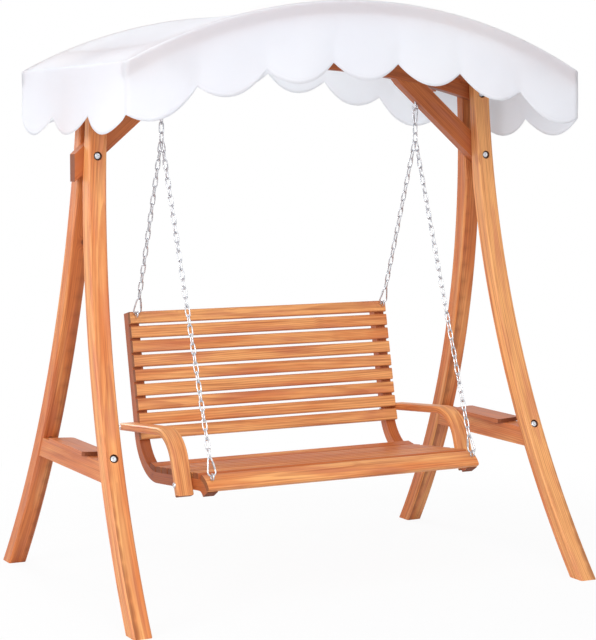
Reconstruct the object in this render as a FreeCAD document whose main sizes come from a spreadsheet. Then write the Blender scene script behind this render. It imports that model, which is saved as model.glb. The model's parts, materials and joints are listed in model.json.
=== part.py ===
"""Canopy garden swing: laminated larch frame, hanging slatted bench, chains and a scalloped cloth canopy.

Millimetres, +Z up, front towards -Y. The origin is on the ground, midway between the four feet.
"""
import FreeCAD
import Part
import math
import os
import Sketcher

from FreeCAD import Placement, Rotation, Vector

# Driving dimensions: name, value and what it is
DIMENSIONS = (
    ("leg_width", 64, "leg section along X"),
    ("leg_depth", 61, "leg section across the bow"),
    ("leg_hollow_radius", 2939, "radius of the leg's outer, hollow face"),
    ("leg_vertex_y", 64, "outer face from the middle plane where the bow is upright"),
    ("leg_vertex_z", 1742, "height where the bow is upright"),
    ("leg_top_z", 1765, "height of the leg's top"),
    ("leg_lean", 3.2, "inward lean of each A-frame, degrees"),
    ("feet_spacing", 1700, "between the middles of the left and right feet"),
    ("joint_gap", 44, "space between front and rear leg tops, and thickness of beam and braces"),
    ("edge_bevel", 5, "bevel along the legs' edges"),
    ("beam_length", 1590, "top beam along X"),
    ("beam_depth", 57, "top beam's section height"),
    ("beam_radius", 2680, "radius of the beam's underside"),
    ("beam_crown_z", 1801, "height of the beam's underside at its crown"),
    ("brace_depth", 70, "knee brace's section height"),
    ("brace_angle", 40.5, "slope of the knee brace, degrees"),
    ("brace_nose_x", 429, "lower corner of the brace's upper end, from the middle"),
    ("brace_nose_z", 1750, "lower corner of the brace's upper end, height"),
    ("brace_foot_x", 829, "outer end of the brace, from the middle"),
    ("crossbar_bottom_z", 438, "underside of the cross-bar"),
    ("crossbar_height", 67, "cross-bar section height"),
    ("crossbar_width", 56, "cross-bar section along X"),
    ("tray_width", 92, "tray board along X"),
    ("tray_length", 330, "tray board along Y"),
    ("tray_corner", 8, "tray board's cut corners"),
    ("tray_thickness", 15, "tray board"),
    ("roof_radius", 1780, "radius of the canopy's outside"),
    ("roof_crown_z", 2003, "canopy's highest point"),
    ("roof_width", 1700, "canopy along X"),
    ("roof_front", 525, "canopy in front of the middle plane"),
    ("roof_rear", 440, "canopy behind the middle plane"),
    ("cloth_thickness", 4, "canopy cloth with its hems"),
    ("valance_drop", 202, "canopy's crown to the cusps between scallops, at the middle"),
    ("hem_radius", 2130, "radius of the arch that those cusps lie on"),
    ("scallop_drop", 60, "depth of a scallop below the cusps"),
    ("scallop_curl", 14, "outward bulge of a scallop's hem"),
    ("rail_height", 40, "roof rail section height"),
    ("rail_thickness", 28, "roof rail section along Y"),
    ("roof_arm_x", 700, "roof arm from the middle"),
    ("roof_arm_thickness", 30, "roof arm section along X"),
    ("roof_arm_top_z", 1842, "top of the roof arms"),
    ("bolt_diameter", 10, "frame bolt shank"),
    ("shank_play", 0.45, "play of a shank in its hole"),
    ("bolt_head_diameter", 22, "domed bolt head"),
    ("bolt_head_height", 7, "domed bolt head"),
    ("counterbore_diameter", 29, "sinking round a bolt head"),
    ("counterbore_depth", 10, "sinking round a bolt head"),
    ("brace_bolt_z", 1494, "height of the leg and brace bolt"),
    ("beam_bolt_z", 1718, "height of the leg and beam bolt"),
    ("crossbar_bolt_z", 521, "height where the cross-bar bolt enters the leg"),
    ("crossbar_bolt_length", 130, "cross-bar bolt under its head"),
    ("nut_height", 8, "nuts of frame and arm bolts"),
    ("hanger_x", 505, "hanger eyes, chains and bench eyes from the middle"),
    ("eye_radius", 10, "middle of an eye's wire"),
    ("eye_wire", 6, "eye wire diameter"),
    ("eye_shank", 52, "length of an eye's shank"),
    ("eye_stand_off", 2, "an eye's ring from the wood that it is screwed into"),
    ("bench_width", 1050, "bench over the side frames"),
    ("bench_shift", 31.6, "moves the bench along Y so that it hangs level"),
    ("stile_width", 40, "side frame along X"),
    ("stile_depth", 38, "side frame across its curve"),
    ("stile_length", 597, "back stile from the corner of its rear lines"),
    ("recline", 12.5, "back stile from upright, degrees"),
    ("seat_rise", 5.3, "seat runner above level towards the front, degrees"),
    ("corner_y", 146, "corner of the side frame's rear lines, along Y"),
    ("corner_z", 343, "corner of the side frame's rear lines, height"),
    ("bend_radius", 190, "side frame's outer bend below the back"),
    ("runner_length", 520, "seat runner from the corner to the nose"),
    ("nose_radius", 70, "outer radius of the down-turned nose"),
    ("nose_turn", 65, "turn of the nose, degrees"),
    ("slat_thickness", 20, "slats and front board"),
    ("slat_round", 5, "rounding along the slats' edges"),
    ("back_slat_height", 42.5, "back slat"),
    ("back_slat_pitch", 51.9, "back slats"),
    ("seat_slat_width", 45, "seat slat"),
    ("seat_slat_pitch", 52.5, "seat slats"),
    ("seat_slat_start", 2, "front edge of the first seat slat from the nose's bend"),
    ("front_board_start", 8, "front board's upper edge round the nose, degrees from upright"),
    ("front_board_end", 58, "front board's lower edge round the nose, degrees from upright"),
    ("arm_width", 60, "arm along X"),
    ("arm_thickness", 25, "arm strip"),
    ("arm_rear_y", 180, "arm's rear end along Y"),
    ("arm_rear_z", 547, "top of the arm at its rear end"),
    ("arm_rise", 5, "arm above level towards the front, degrees"),
    ("arm_rake", 20, "arm's post, foot forward of upright, degrees"),
    ("arm_corner_y", -256, "corner of the arm's outer lines, along Y"),
    ("arm_bend_radius", 140, "arm's outer bend"),
    ("arm_post_length", 228, "arm's post from that corner to its foot"),
    ("arm_bevel", 4, "bevel along the arms' edges"),
    ("arm_foot_inset", 40, "arm's lower bolt from the foot of its post"),
    ("arm_bolt", 8, "arm bolt shank diameter"),
    ("arm_bolt_head", 18, "arm bolt head diameter"),
    ("link_wire", 5, "chain wire diameter"),
    ("link_inner_length", 32.98, "chain link inside length"),
    ("link_inner_width", 10, "chain link inside width"),
    ("ring_inner_width", 22, "wide ring link inside width"),
    ("chain_parting", 5.5, "front and rear chain from the middle of the ring link"),
    ("hook_wire", 6, "snap hook wire diameter"),
    ("hook_wide_radius", 14, "snap hook's wide end, middle of the wire"),
    ("hook_narrow_radius", 7, "snap hook's narrow end, middle of the wire"),
    ("hook_length", 62, "snap hook between the middles of its end wires"),
    ("play", 0.35, "play between chain wires that hang in each other"),
    ("eye_play", 1.2, "play between a snap hook and its eye"),
    ("rear_eye_drop", 12, "rear bench eye below the stile's top"),
    ("front_eye_angle", 35, "front bench eye round the nose, degrees from upright"),
)
BACK_SLATS = 9
SEAT_SLATS = 8
FRONT_CHAIN_LINKS = 34
REAR_CHAIN_LINKS = 18
FRONT_SCALLOPS = 7
SIDE_SCALLOPS = 3
WIRE_FLATS = 5
LINK_FLATS = 4
BOLT_FLATS = 8
SIDES = {"left": -1, "right": 1}
ENDS = {"front": -1, "rear": 1}

doc = FreeCAD.newDocument("GardenSwing")
sheet = doc.addObject("Spreadsheet::Sheet", "Dims")
for row, (name, value, note) in enumerate(DIMENSIONS, start=1):
    sheet.set(f"A{row}", name)
    sheet.set(f"B{row}", str(value))
    sheet.set(f"C{row}", note)
    sheet.setAlias(f"B{row}", name)
doc.recompute()

nodes = []


def size(name):
    """Value of a driving dimension."""
    return float(sheet.get(name))


def node(feature, label):
    """Name a finished piece and put it on the list of pieces that are written out."""
    feature.Label = label
    nodes.append(feature)
    return feature


class Outline:
    """Closed outline of lines and arcs in a sketch's own two axes."""

    def __init__(self, start):
        self.start = start
        self.at = start
        self.edges = []

    def line(self, point):
        self.edges.append(("line", self.at, None, point, None))
        self.at = point
        return self

    def arc(self, middle, point, radius=None):
        """Arc through a middle point; radius names the dimension that drives it."""
        self.edges.append(("arc", self.at, middle, point, radius))
        self.at = point
        return self

    def close(self):
        return self.line(self.start)

    def draw(self, sketch):
        for kind, begin, middle, end, radius in self.edges:
            ends = [Vector(begin[0], begin[1], 0), Vector(end[0], end[1], 0)]
            if kind == "line":
                sketch.addGeometry(Part.LineSegment(*ends), False)
                continue
            index = sketch.addGeometry(Part.Arc(ends[0], Vector(middle[0], middle[1], 0), ends[1]), False)
            if radius:
                number = sketch.addConstraint(Sketcher.Constraint("Radius", index, size(radius)))
                sketch.setExpression(f"Constraints[{number}]", f"Dims.{radius}")
        sketch.detectMissingPointOnPointConstraints(0.001)
        sketch.makeMissingPointOnPointCoincident()


def padded_outline(name, plane, outline, length):
    """Body made of one outline on an origin plane, padded both ways to a driven length."""
    body = doc.addObject("PartDesign::Body", name)
    sketch = body.newObject("Sketcher::SketchObject", f"{name}_outline")
    origin_plane = next(item for item in body.Origin.OriginFeatures if item.Role == plane)
    sketch.AttachmentSupport = [(origin_plane, "")]
    sketch.MapMode = "FlatFace"
    outline.draw(sketch)
    pad = body.newObject("PartDesign::Pad", f"{name}_pad")
    pad.Profile = sketch
    pad.SideType = "Symmetric"
    pad.setExpression("Length", length if "." in length else f"Dims.{length}")
    return body


def bevel_rims(body, axis, half_length, bevel, shortest=0):
    """Bevel the edges that lie in the two end planes of a padded body and aren't too short."""
    doc.recompute()
    pad = body.Tip
    rims = []
    for number, edge in enumerate(pad.Shape.Edges, start=1):
        offsets = [abs(abs(vertex.Point.dot(axis)) - half_length) for vertex in edge.Vertexes]
        in_end_plane = max(offsets) < 0.01 and abs(edge.tangentAt(edge.FirstParameter).dot(axis)) < 0.5
        if in_end_plane and edge.Length > shortest:
            rims.append(f"Edge{number}")
    chamfer = body.newObject("PartDesign::Chamfer", f"{body.Name}_bevel")
    chamfer.Base = (pad, rims)
    chamfer.setExpression("Size", f"Dims.{bevel}")
    return chamfer


def drill(name, diameter, length, start, direction):
    """Tool of flats that drills or counterbores along a direction, driven by a dimension."""
    hole = doc.addObject("Part::Prism", name)
    hole.Polygon = BOLT_FLATS
    hole.setExpression("Circumradius", f"Dims.{diameter} / 2 + Dims.shank_play")
    hole.Height = length
    hole.Placement = Placement(start, Rotation(Vector(0, 0, 1), direction))
    return hole


def cut(label, base, tools):
    """Piece that is left of a base after its tools are taken away."""
    result = doc.addObject("Part::Cut", f"{label}_cut")
    result.Base = base
    if len(tools) == 1:
        result.Tool = tools[0]
    else:
        joined = doc.addObject("Part::MultiFuse", f"{label}_tools")
        joined.Shapes = tools
        result.Tool = joined
    return node(result, label)


def group(label, shapes):
    """Piece, or group of like pieces, from ready shapes."""
    feature = doc.addObject("Part::Feature", label)
    feature.Shape = shapes[0] if len(shapes) == 1 else Part.makeCompound(shapes)
    return node(feature, label)


def polar(angle, radius=1.0):
    """Point of the Y-Z plane at an angle from upright towards the front."""
    return Vector(0, -math.sin(math.radians(angle)) * radius, math.cos(math.radians(angle)) * radius)


def flat(vector):
    """Y and Z of a point, as a pair for an outline in the Y-Z plane."""
    return (vector.y, vector.z)


def bent_bar(points, radius, closed, across, flats=WIRE_FLATS):
    """Bar of flats along a bent line, mitred at its corners.

    points lie in one plane, and across is that plane's unit normal.
    """
    count = len(points)
    loops = []
    for index, point in enumerate(points):
        runs = []
        if closed or index > 0:
            runs.append((point - points[index - 1]).normalize())
        if closed or index < count - 1:
            runs.append((points[(index + 1) % count] - point).normalize())
        sides = [across.cross(run) for run in runs]
        side = (sides[0] + sides[-1]).normalize()
        stretch = radius / side.dot(sides[0])
        loop = []
        for flat_number in range(flats):
            turn = math.radians(360.0 * flat_number / flats)
            loop.append(point + side * (math.cos(turn) * stretch) + across * (math.sin(turn) * radius))
        loops.append(loop)
    faces = []
    spans = count if closed else count - 1
    for index in range(spans):
        first = loops[index]
        second = loops[(index + 1) % count]
        for side in range(flats):
            other = (side + 1) % flats
            corners = [first[side], first[other], second[other], second[side], first[side]]
            faces.append(Part.Face(Part.makePolygon(corners)))
    if not closed:
        for loop in (loops[0], loops[-1]):
            faces.append(Part.Face(Part.makePolygon(loop + [loop[0]])))
    bar = Part.Solid(Part.makeShell(faces))
    if bar.Volume < 0:
        bar.reverse()
    return bar


def frame_of(origin, x_axis, z_axis):
    """Placement whose own X and Z point along two given directions."""
    return Placement(origin, Rotation(x_axis, z_axis.cross(x_axis), z_axis, "ZXY"))


def placed(shape, placement):
    """Copy of a shape at a placement."""
    copy = shape.copy()
    copy.Placement = placement
    return copy


# A-frames: four bowed legs, cross-bars and trays, leaning inwards at the top
LEG_AXIS_Y = size("leg_vertex_y") + size("leg_hollow_radius")
BOW_RADIUS = size("leg_hollow_radius") + size("leg_depth")
HALF_GAP = size("joint_gap") / 2
LEG_STUB = 12


def leg_outer_y(z):
    """Distance of the leg's hollow face from the middle plane."""
    return LEG_AXIS_Y - math.sqrt(size("leg_hollow_radius") ** 2 - (size("leg_vertex_z") - z) ** 2)


def leg_inner_y(z):
    """Distance of the leg's bowed inner face from the middle plane."""
    return LEG_AXIS_Y - math.sqrt(BOW_RADIUS ** 2 - (size("leg_vertex_z") - z) ** 2)


def leg_inner_slope(z):
    """Change of that distance with height."""
    drop = size("leg_vertex_z") - z
    return -drop / math.sqrt(BOW_RADIUS ** 2 - drop ** 2)


def leg_frame(side):
    """Placement of one A-frame: its own plane X = 0 goes to the foot and leans inwards."""
    turn = Rotation(Vector(0, 1, 0), -side * size("leg_lean"))
    return Placement(Vector(side * size("feet_spacing") / 2, 0, 0), turn)


def leg_x(side, z):
    """Middle of a leg along X at a height."""
    return side * (size("feet_spacing") / 2 - math.tan(math.radians(size("leg_lean"))) * z)


def make_leg(label, side, end):
    """Bowed leg, planed flat where it clamps the beam, with counterbored bolt holes."""
    flat_z = size("leg_vertex_z") - math.sqrt(BOW_RADIUS ** 2 - (LEG_AXIS_Y - HALF_GAP) ** 2)
    top = size("leg_top_z")
    middle = (flat_z - LEG_STUB) / 2
    outline = Outline((-leg_outer_y(-LEG_STUB), -LEG_STUB))
    outline.line((-leg_inner_y(-LEG_STUB), -LEG_STUB))
    outline.arc((-leg_inner_y(middle), middle), (-HALF_GAP, flat_z))
    outline.line((-HALF_GAP, top)).line((-leg_outer_y(top), top))
    outline.arc((-leg_outer_y(top / 2), top / 2), outline.start, "leg_hollow_radius")
    blank = padded_outline(f"{label}_blank", "YZ_Plane", outline, "leg_width")
    bevel_rims(blank, Vector(1, 0, 0), size("leg_width") / 2, "edge_bevel", 2 * size("leg_depth"))
    about_face = Placement(Vector(), Rotation(Vector(0, 0, 1), 90 * (end + 1)))
    blank.Placement = leg_frame(side).multiply(about_face)
    floor = doc.addObject("Part::Box", f"{label}_floor")
    reach = 4 * size("leg_width")
    floor.Length = reach
    floor.Width = reach
    floor.Height = reach
    corner = Vector(side * size("feet_spacing") / 2, end * leg_outer_y(0), -reach / 2)
    floor.Placement.Base = corner - Vector(reach, reach, reach) * 0.5
    tools = [floor]
    inwards = Vector(0, -end, 0)
    for place in ("brace_bolt_z", "beam_bolt_z"):
        z = size(place)
        start = Vector(leg_x(side, z), end * (leg_outer_y(z) + size("leg_depth")), z)
        tools.append(drill(f"{label}_{place}", "bolt_diameter", 2 * size("leg_depth"), start, inwards))
        sink = Vector(start.x, end * (leg_outer_y(z) + size("leg_depth")), z)
        depth = size("leg_depth") + size("counterbore_depth")
        tools.append(drill(f"{label}_{place}_sink", "counterbore_diameter", depth, sink, inwards))
    point, direction = crossbar_bolt_line(side, end)
    reach = size("leg_depth")
    outside = point - direction * reach
    tools.append(drill(f"{label}_bar_hole", "bolt_diameter", 3 * reach, outside, direction))
    depth = reach + size("counterbore_depth")
    tools.append(drill(f"{label}_bar_sink", "counterbore_diameter", depth, outside, direction))
    return cut(label, blank, tools)


def crossbar_bolt_line(side, end):
    """Where a cross-bar bolt enters a leg's face, and its direction, square to that face."""
    z = size("crossbar_bolt_z")
    y = leg_outer_y(z)
    inwards = Vector(0, y - LEG_AXIS_Y, z - size("leg_vertex_z")).normalize()
    local_point = Vector(0, end * y, z)
    local_direction = Vector(0, end * inwards.y, inwards.z)
    frame = leg_frame(side)
    return frame.multVec(local_point), frame.Rotation.multVec(local_direction)


def make_crossbar(label, side):
    """Bar between a front and a rear leg, its ends cut to lie against the bow."""
    height = size("crossbar_height")
    bottom = size("crossbar_bottom_z")
    middle = bottom + height / 2
    slope = leg_inner_slope(middle)
    low = leg_inner_y(middle) - slope * height / 2
    high = leg_inner_y(middle) + slope * height / 2
    outline = Outline((-low, bottom)).line((low, bottom)).line((high, bottom + height))
    outline.line((-high, bottom + height)).close()
    blank = padded_outline(f"{label}_blank", "YZ_Plane", outline, "crossbar_width")
    blank.Placement = leg_frame(side)
    tools = []
    for end_name, end in ENDS.items():
        point, direction = crossbar_bolt_line(side, end)
        length = size("crossbar_bolt_length") - size("counterbore_depth")
        tools.append(drill(f"{label}_{end_name}_hole", "bolt_diameter", length,
                           point + direction * size("counterbore_depth"), direction))
    return cut(label, blank, tools)


def make_tray(label, side):
    """Tray board with cut corners on top of a cross-bar."""
    bottom = size("crossbar_bottom_z") + size("crossbar_height")
    half_length = size("tray_length") / 2
    half_width = size("tray_width") / 2
    half_end = half_width - size("tray_corner")
    shoulder = half_length - size("tray_corner")
    outline = Outline((-half_end, -half_length)).line((half_end, -half_length))
    outline.line((half_width, -shoulder)).line((half_width, shoulder)).line((half_end, half_length))
    outline.line((-half_end, half_length)).line((-half_width, shoulder))
    outline.line((-half_width, -shoulder)).close()
    tray = padded_outline(label, "XY_Plane", outline, "tray_thickness")
    lift = Placement(Vector(0, 0, bottom + size("tray_thickness") / 2), Rotation())
    tray.Placement = leg_frame(side).multiply(lift)
    return node(tray, label)


for side_name, side in SIDES.items():
    for end_name, end in ENDS.items():
        make_leg(f"{end_name}_{side_name}_leg", side, end)
    make_crossbar(f"{side_name}_crossbar", side)
    make_tray(f"{side_name}_tray", side)


# Top beam and knee braces
def beam_underside_z(x):
    """Height of the beam's underside."""
    return size("beam_crown_z") - size("beam_radius") + math.sqrt(size("beam_radius") ** 2 - x * x)


def beam_top_z(x):
    """Height of the beam's top."""
    radius = size("beam_radius") + size("beam_depth")
    return size("beam_crown_z") - size("beam_radius") + math.sqrt(radius ** 2 - x * x)


def make_beam(label):
    """Arched beam with bolt holes at the legs."""
    half = size("beam_length") / 2
    outline = Outline((-half, beam_underside_z(half)))
    outline.arc((0, beam_underside_z(0)), (half, beam_underside_z(half)), "beam_radius")
    outline.line((half, beam_top_z(half)))
    outline.arc((0, beam_top_z(0)), (-half, beam_top_z(half))).close()
    blank = padded_outline(f"{label}_blank", "XZ_Plane", outline, "joint_gap")
    z = size("beam_bolt_z")
    tools = []
    for side_name, side in SIDES.items():
        start = Vector(leg_x(side, z), -size("joint_gap"), z)
        length = 2 * size("joint_gap")
        tools.append(drill(f"{label}_{side_name}_hole", "bolt_diameter", length, start, Vector(0, 1, 0)))
    return cut(label, blank, tools)


def brace_underside_z(x):
    """Height of a brace's underside at a distance from the middle."""
    return size("brace_nose_z") - (x - size("brace_nose_x")) * math.tan(math.radians(size("brace_angle")))


def make_brace(label, side):
    """Knee brace, square at its nose and cut to lie under the beam."""
    angle = math.radians(size("brace_angle"))
    rise = size("brace_depth") / math.cos(angle)
    nose = (size("brace_nose_x"), size("brace_nose_z"))
    foot = size("brace_foot_x")
    step = (size("beam_crown_z") - nose[1]) / math.cos(angle)
    for _ in range(20):
        step = (beam_underside_z(nose[0] - step * math.sin(angle)) - nose[1]) / math.cos(angle)
    tip = (nose[0] - step * math.sin(angle), nose[1] + step * math.cos(angle))
    shoulder_x = foot
    for _ in range(60):
        gap = beam_underside_z(shoulder_x) - brace_underside_z(shoulder_x) - rise
        shoulder_x -= gap / (math.tan(angle) + 0.5)
    shoulder = (shoulder_x, beam_underside_z(shoulder_x))
    foot_low = brace_underside_z(foot)
    outline = Outline((side * nose[0], nose[1])).line((side * tip[0], tip[1]))
    outline.line((side * shoulder[0], shoulder[1]))
    outline.line((side * foot, foot_low + rise)).line((side * foot, foot_low)).close()
    blank = padded_outline(f"{label}_blank", "XZ_Plane", outline, "joint_gap")
    z = size("brace_bolt_z")
    bolt = Vector(leg_x(side, z), -size("joint_gap"), z)
    tools = [drill(f"{label}_hole", "bolt_diameter", 2 * size("joint_gap"), bolt, Vector(0, 1, 0))]
    shank = Vector(side * size("hanger_x"), 0, hanger_ring_z() + size("eye_radius"))
    tools.append(drill(f"{label}_eye_hole", "eye_wire", size("eye_shank"), shank, Vector(0, 0, 1)))
    return cut(label, blank, tools)


def hanger_ring_z():
    """Middle of a hanger eye's ring, just under the brace."""
    clearance = 0.8
    reach = size("eye_radius") + size("eye_wire") / 2 + clearance
    return brace_underside_z(size("hanger_x")) - reach / math.cos(math.radians(size("brace_angle")))


make_beam("top_beam")
for side_name, side in SIDES.items():
    make_brace(f"{side_name}_brace", side)


# Roof: two arms across the beam, two arched rails, the cloth cover and its valances
ROOF_GAP = 0.4


def roof_z(x, inset):
    """Height of an arch that lies a distance inside the canopy's outside."""
    radius = size("roof_radius") - inset
    return size("roof_crown_z") - size("roof_radius") + math.sqrt(radius ** 2 - x * x)


def arch_band(half, upper_inset, lower_inset, radius=None):
    """Outline between two arches of the canopy."""
    outline = Outline((-half, roof_z(half, upper_inset)))
    outline.arc((0, roof_z(0, upper_inset)), (half, roof_z(half, upper_inset)), radius)
    outline.line((half, roof_z(half, lower_inset)))
    outline.arc((0, roof_z(0, lower_inset)), (-half, roof_z(half, lower_inset))).close()
    return outline


def make_roof_arm(label, side):
    """Board on edge from rail to rail, notched over the beam."""
    length = rail_inner_y(1) - rail_inner_y(-1)
    blank = doc.addObject("Part::Box", f"{label}_blank")
    bottom = beam_top_z(size("roof_arm_x") + size("roof_arm_thickness"))
    blank.setExpression("Length", "Dims.roof_arm_thickness")
    blank.Width = length
    blank.Height = size("roof_arm_top_z") - bottom
    inner_x = side * size("roof_arm_x") - size("roof_arm_thickness") / 2
    blank.Placement.Base = Vector(inner_x, rail_inner_y(-1), bottom)
    half = size("beam_length") / 2
    notch = Outline((-half, bottom - size("beam_depth"))).line((half, bottom - size("beam_depth")))
    notch.line((half, beam_top_z(half))).arc((0, beam_top_z(0)), (-half, beam_top_z(half))).close()
    tool = padded_outline(f"{label}_notch", "XZ_Plane", notch, "joint_gap")
    return cut(label, blank, [tool])


def rail_inner_y(end):
    """Face of a roof rail that meets the roof arms."""
    inset = size("cloth_thickness") + ROOF_GAP + size("rail_thickness")
    return -size("roof_front") + inset if end < 0 else size("roof_rear") - inset


def make_rail(label, end):
    """Arched rail under the front or rear edge of the cloth."""
    inset = size("cloth_thickness") + ROOF_GAP
    half = size("roof_width") / 2 - inset
    band = arch_band(half, inset, inset + size("rail_height"))
    rail = padded_outline(label, "XZ_Plane", band, "rail_thickness")
    rail.Placement.Base = Vector(0, rail_inner_y(end) + end * size("rail_thickness") / 2, 0)
    return node(rail, label)


def make_cover(label):
    """Curved cloth roof."""
    outline = arch_band(size("roof_width") / 2, 0, size("cloth_thickness"), "roof_radius")
    cover = padded_outline(label, "XZ_Plane", outline, "Dims.roof_front + Dims.roof_rear")
    cover.Placement.Base = Vector(0, (size("roof_rear") - size("roof_front")) / 2, 0)
    return node(cover, label)


def hem_z(x):
    """Height of the cusps between scallops, which lie on a flatter arch than the roof."""
    drop = size("hem_radius") - math.sqrt(size("hem_radius") ** 2 - x * x)
    return size("roof_crown_z") - size("valance_drop") - drop


def sheet_solid(outer, inner):
    """Closed solid between two like grids of points, each a list of columns."""
    corners = []
    columns = len(outer)
    rows = len(outer[0])
    for column in range(columns - 1):
        for row in range(rows - 1):
            for grid in (outer, inner):
                corners.append((grid[column][row], grid[column + 1][row],
                                grid[column + 1][row + 1], grid[column][row + 1]))
        for row in (0, rows - 1):
            corners.append((outer[column][row], outer[column + 1][row],
                            inner[column + 1][row], inner[column][row]))
    for column in (0, columns - 1):
        for row in range(rows - 1):
            corners.append((outer[column][row], outer[column][row + 1],
                            inner[column][row + 1], inner[column][row]))
    faces = []
    for first, second, third, fourth in corners:
        faces.append(Part.Face(Part.makePolygon([first, second, third, first])))
        faces.append(Part.Face(Part.makePolygon([first, third, fourth, first])))
    solid = Part.Solid(Part.makeShell(faces))
    if solid.Volume < 0:
        solid.reverse()
    return solid


def make_valance(label, first, last, scallop_count, outward):
    """Cloth panel under the roof's edge, its scallops curling outwards at the hem.

    first and last are the panel's ends in plan, and outward is its unit normal.
    """
    outer = []
    inner = []
    for number in range(scallop_count * SCALLOP_COLUMNS + 1):
        share = number / (scallop_count * SCALLOP_COLUMNS)
        within = number % SCALLOP_COLUMNS / SCALLOP_COLUMNS
        swell = 4 * within * (1 - within)
        plan = first + (last - first) * share
        top = roof_z(plan.x, size("cloth_thickness") + ROOF_GAP)
        hem = hem_z(plan.x) - size("scallop_drop") * swell
        column = []
        for drop in CLOTH_ROWS:
            bulge = outward * (size("scallop_curl") * swell * drop ** 2)
            column.append(plan + bulge + Vector(0, 0, top + (hem - top) * drop))
        outer.append(column)
        inner.append([point - outward * size("cloth_thickness") for point in column])
    return group(label, [sheet_solid(outer, inner)])


SCALLOP_COLUMNS = 5
CLOTH_ROWS = (0, 0.55, 1)
HALF_ROOF = size("roof_width") / 2
HEM_INSET = size("cloth_thickness") + ROOF_GAP
ROOF_ENDS = {"front": -size("roof_front"), "rear": size("roof_rear")}
for end_name, end in ENDS.items():
    make_rail(f"{end_name}_roof_rail", end)
    edge = ROOF_ENDS[end_name]
    make_valance(f"{end_name}_valance", Vector(-HALF_ROOF, edge, 0), Vector(HALF_ROOF, edge, 0),
                 FRONT_SCALLOPS, Vector(0, end, 0))
for side_name, side in SIDES.items():
    make_roof_arm(f"{side_name}_roof_arm", side)
    x = side * HALF_ROOF
    make_valance(f"{side_name}_valance", Vector(x, ROOF_ENDS["front"] + HEM_INSET, 0),
                 Vector(x, ROOF_ENDS["rear"] - HEM_INSET, 0), SIDE_SCALLOPS, Vector(side, 0, 0))
make_cover("roof_cover")


# Frame fasteners
def turned(profile):
    """Solid of flats round Z through rings given as radius and height."""
    rings = []
    for radius, z in profile:
        ring = []
        for number in range(BOLT_FLATS):
            turn = 2 * math.pi * number / BOLT_FLATS
            ring.append(Vector(radius * math.cos(turn), radius * math.sin(turn), z))
        rings.append(ring)
    faces = [Part.Face(Part.makePolygon(ring + ring[:1])) for ring in (rings[0], rings[-1])]
    for lower, upper in zip(rings, rings[1:]):
        for number in range(BOLT_FLATS):
            other = (number + 1) % BOLT_FLATS
            corners = [lower[number], lower[other], upper[other], upper[number], lower[number]]
            faces.append(Part.Face(Part.makePolygon(corners)))
    solid = Part.Solid(Part.makeShell(faces))
    if solid.Volume < 0:
        solid.reverse()
    return solid


def domed_bolt(head_radius, head_height, shank_radius, length, nut_radius=None):
    """Bolt along +Z with a domed head below Z = 0, and at its far end a nut if that is given."""
    crown = (0.4 * head_radius, -head_height)
    shoulder = (0.8 * head_radius, -0.65 * head_height)
    profile = [crown, shoulder, (head_radius, 0), (shank_radius, 0), (shank_radius, length)]
    if nut_radius is None:
        return turned(profile)
    first = Vector(nut_radius, 0, length)
    corners = [Rotation(Vector(0, 0, 1), 60 * turn).multVec(first) for turn in range(7)]
    hexagon = Part.Face(Part.makePolygon(corners)).extrude(Vector(0, 0, size("nut_height")))
    return turned(profile).fuse(hexagon).removeSplitter()


def along(start, direction):
    """Placement that turns +Z to a direction."""
    return Placement(start, Rotation(Vector(0, 0, 1), direction))


def make_frame_bolts():
    """Bolts through the leg tops with their nuts, and the cross-bar bolts."""
    head = (size("bolt_head_diameter") / 2, size("bolt_head_height"), size("bolt_diameter") / 2)
    nut_radius = 9.2
    bolts = []
    for side in SIDES.values():
        for place in ("brace_bolt_z", "beam_bolt_z"):
            z = size(place)
            seat = leg_outer_y(z) - size("counterbore_depth")
            bolt = domed_bolt(*head, 2 * seat, nut_radius)
            bolts.append(placed(bolt, along(Vector(leg_x(side, z), -seat, z), Vector(0, 1, 0))))
        for end in ENDS.values():
            point, direction = crossbar_bolt_line(side, end)
            bolt = domed_bolt(*head, size("crossbar_bolt_length") - size("counterbore_depth"))
            bolts.append(placed(bolt, along(point + direction * size("counterbore_depth"), direction)))
    group("frame_bolts", bolts)


EYE_BENDS = 8
EYE_SWEEP = 290.0


def eye(ring_to_shank):
    """Screw eye in its own X-Z plane: ring round the origin, shank along +Z."""
    radius = size("eye_radius")
    points = [Vector(0, 0, radius + ring_to_shank)]
    for step in range(EYE_BENDS + 1):
        turn = math.radians(EYE_SWEEP * step / EYE_BENDS)
        points.append(Vector(math.sin(turn) * radius, 0, math.cos(turn) * radius))
    return bent_bar(points, size("eye_wire") / 2, False, Vector(0, 1, 0))


make_frame_bolts()
hanger_eye_shapes = []
for side in SIDES.values():
    ring = Vector(side * size("hanger_x"), 0, hanger_ring_z())
    hanger_eye_shapes.append(placed(eye(size("eye_shank")), Placement(ring, Rotation())))
group("hanger_eyes", hanger_eye_shapes)


# Bench side frames: the seat-bearing line and the rear line of the J
RECLINE = math.radians(size("recline"))
RISE = math.radians(size("seat_rise"))
UP_BACK = Vector(0, math.sin(RECLINE), math.cos(RECLINE))
BACK_FACE = Vector(0, -math.cos(RECLINE), math.sin(RECLINE))
FORWARD = Vector(0, -math.cos(RISE), math.sin(RISE))
SEAT_FACE = Vector(0, math.sin(RISE), math.cos(RISE))
CORNER = Vector(0, size("corner_y") + size("bench_shift"), size("corner_z"))
DEPTH = size("stile_depth")


def bend_between(corner, toward, away, radius):
    """Tangent points, middle and centre of an arc that rounds a corner."""
    opening = toward.getAngle(away)
    reach = radius / math.tan(opening / 2)
    bisector = (toward + away).normalize()
    centre = corner + bisector * (radius / math.sin(opening / 2))
    return corner + toward * reach, centre - bisector * radius, corner + away * reach, centre


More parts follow.
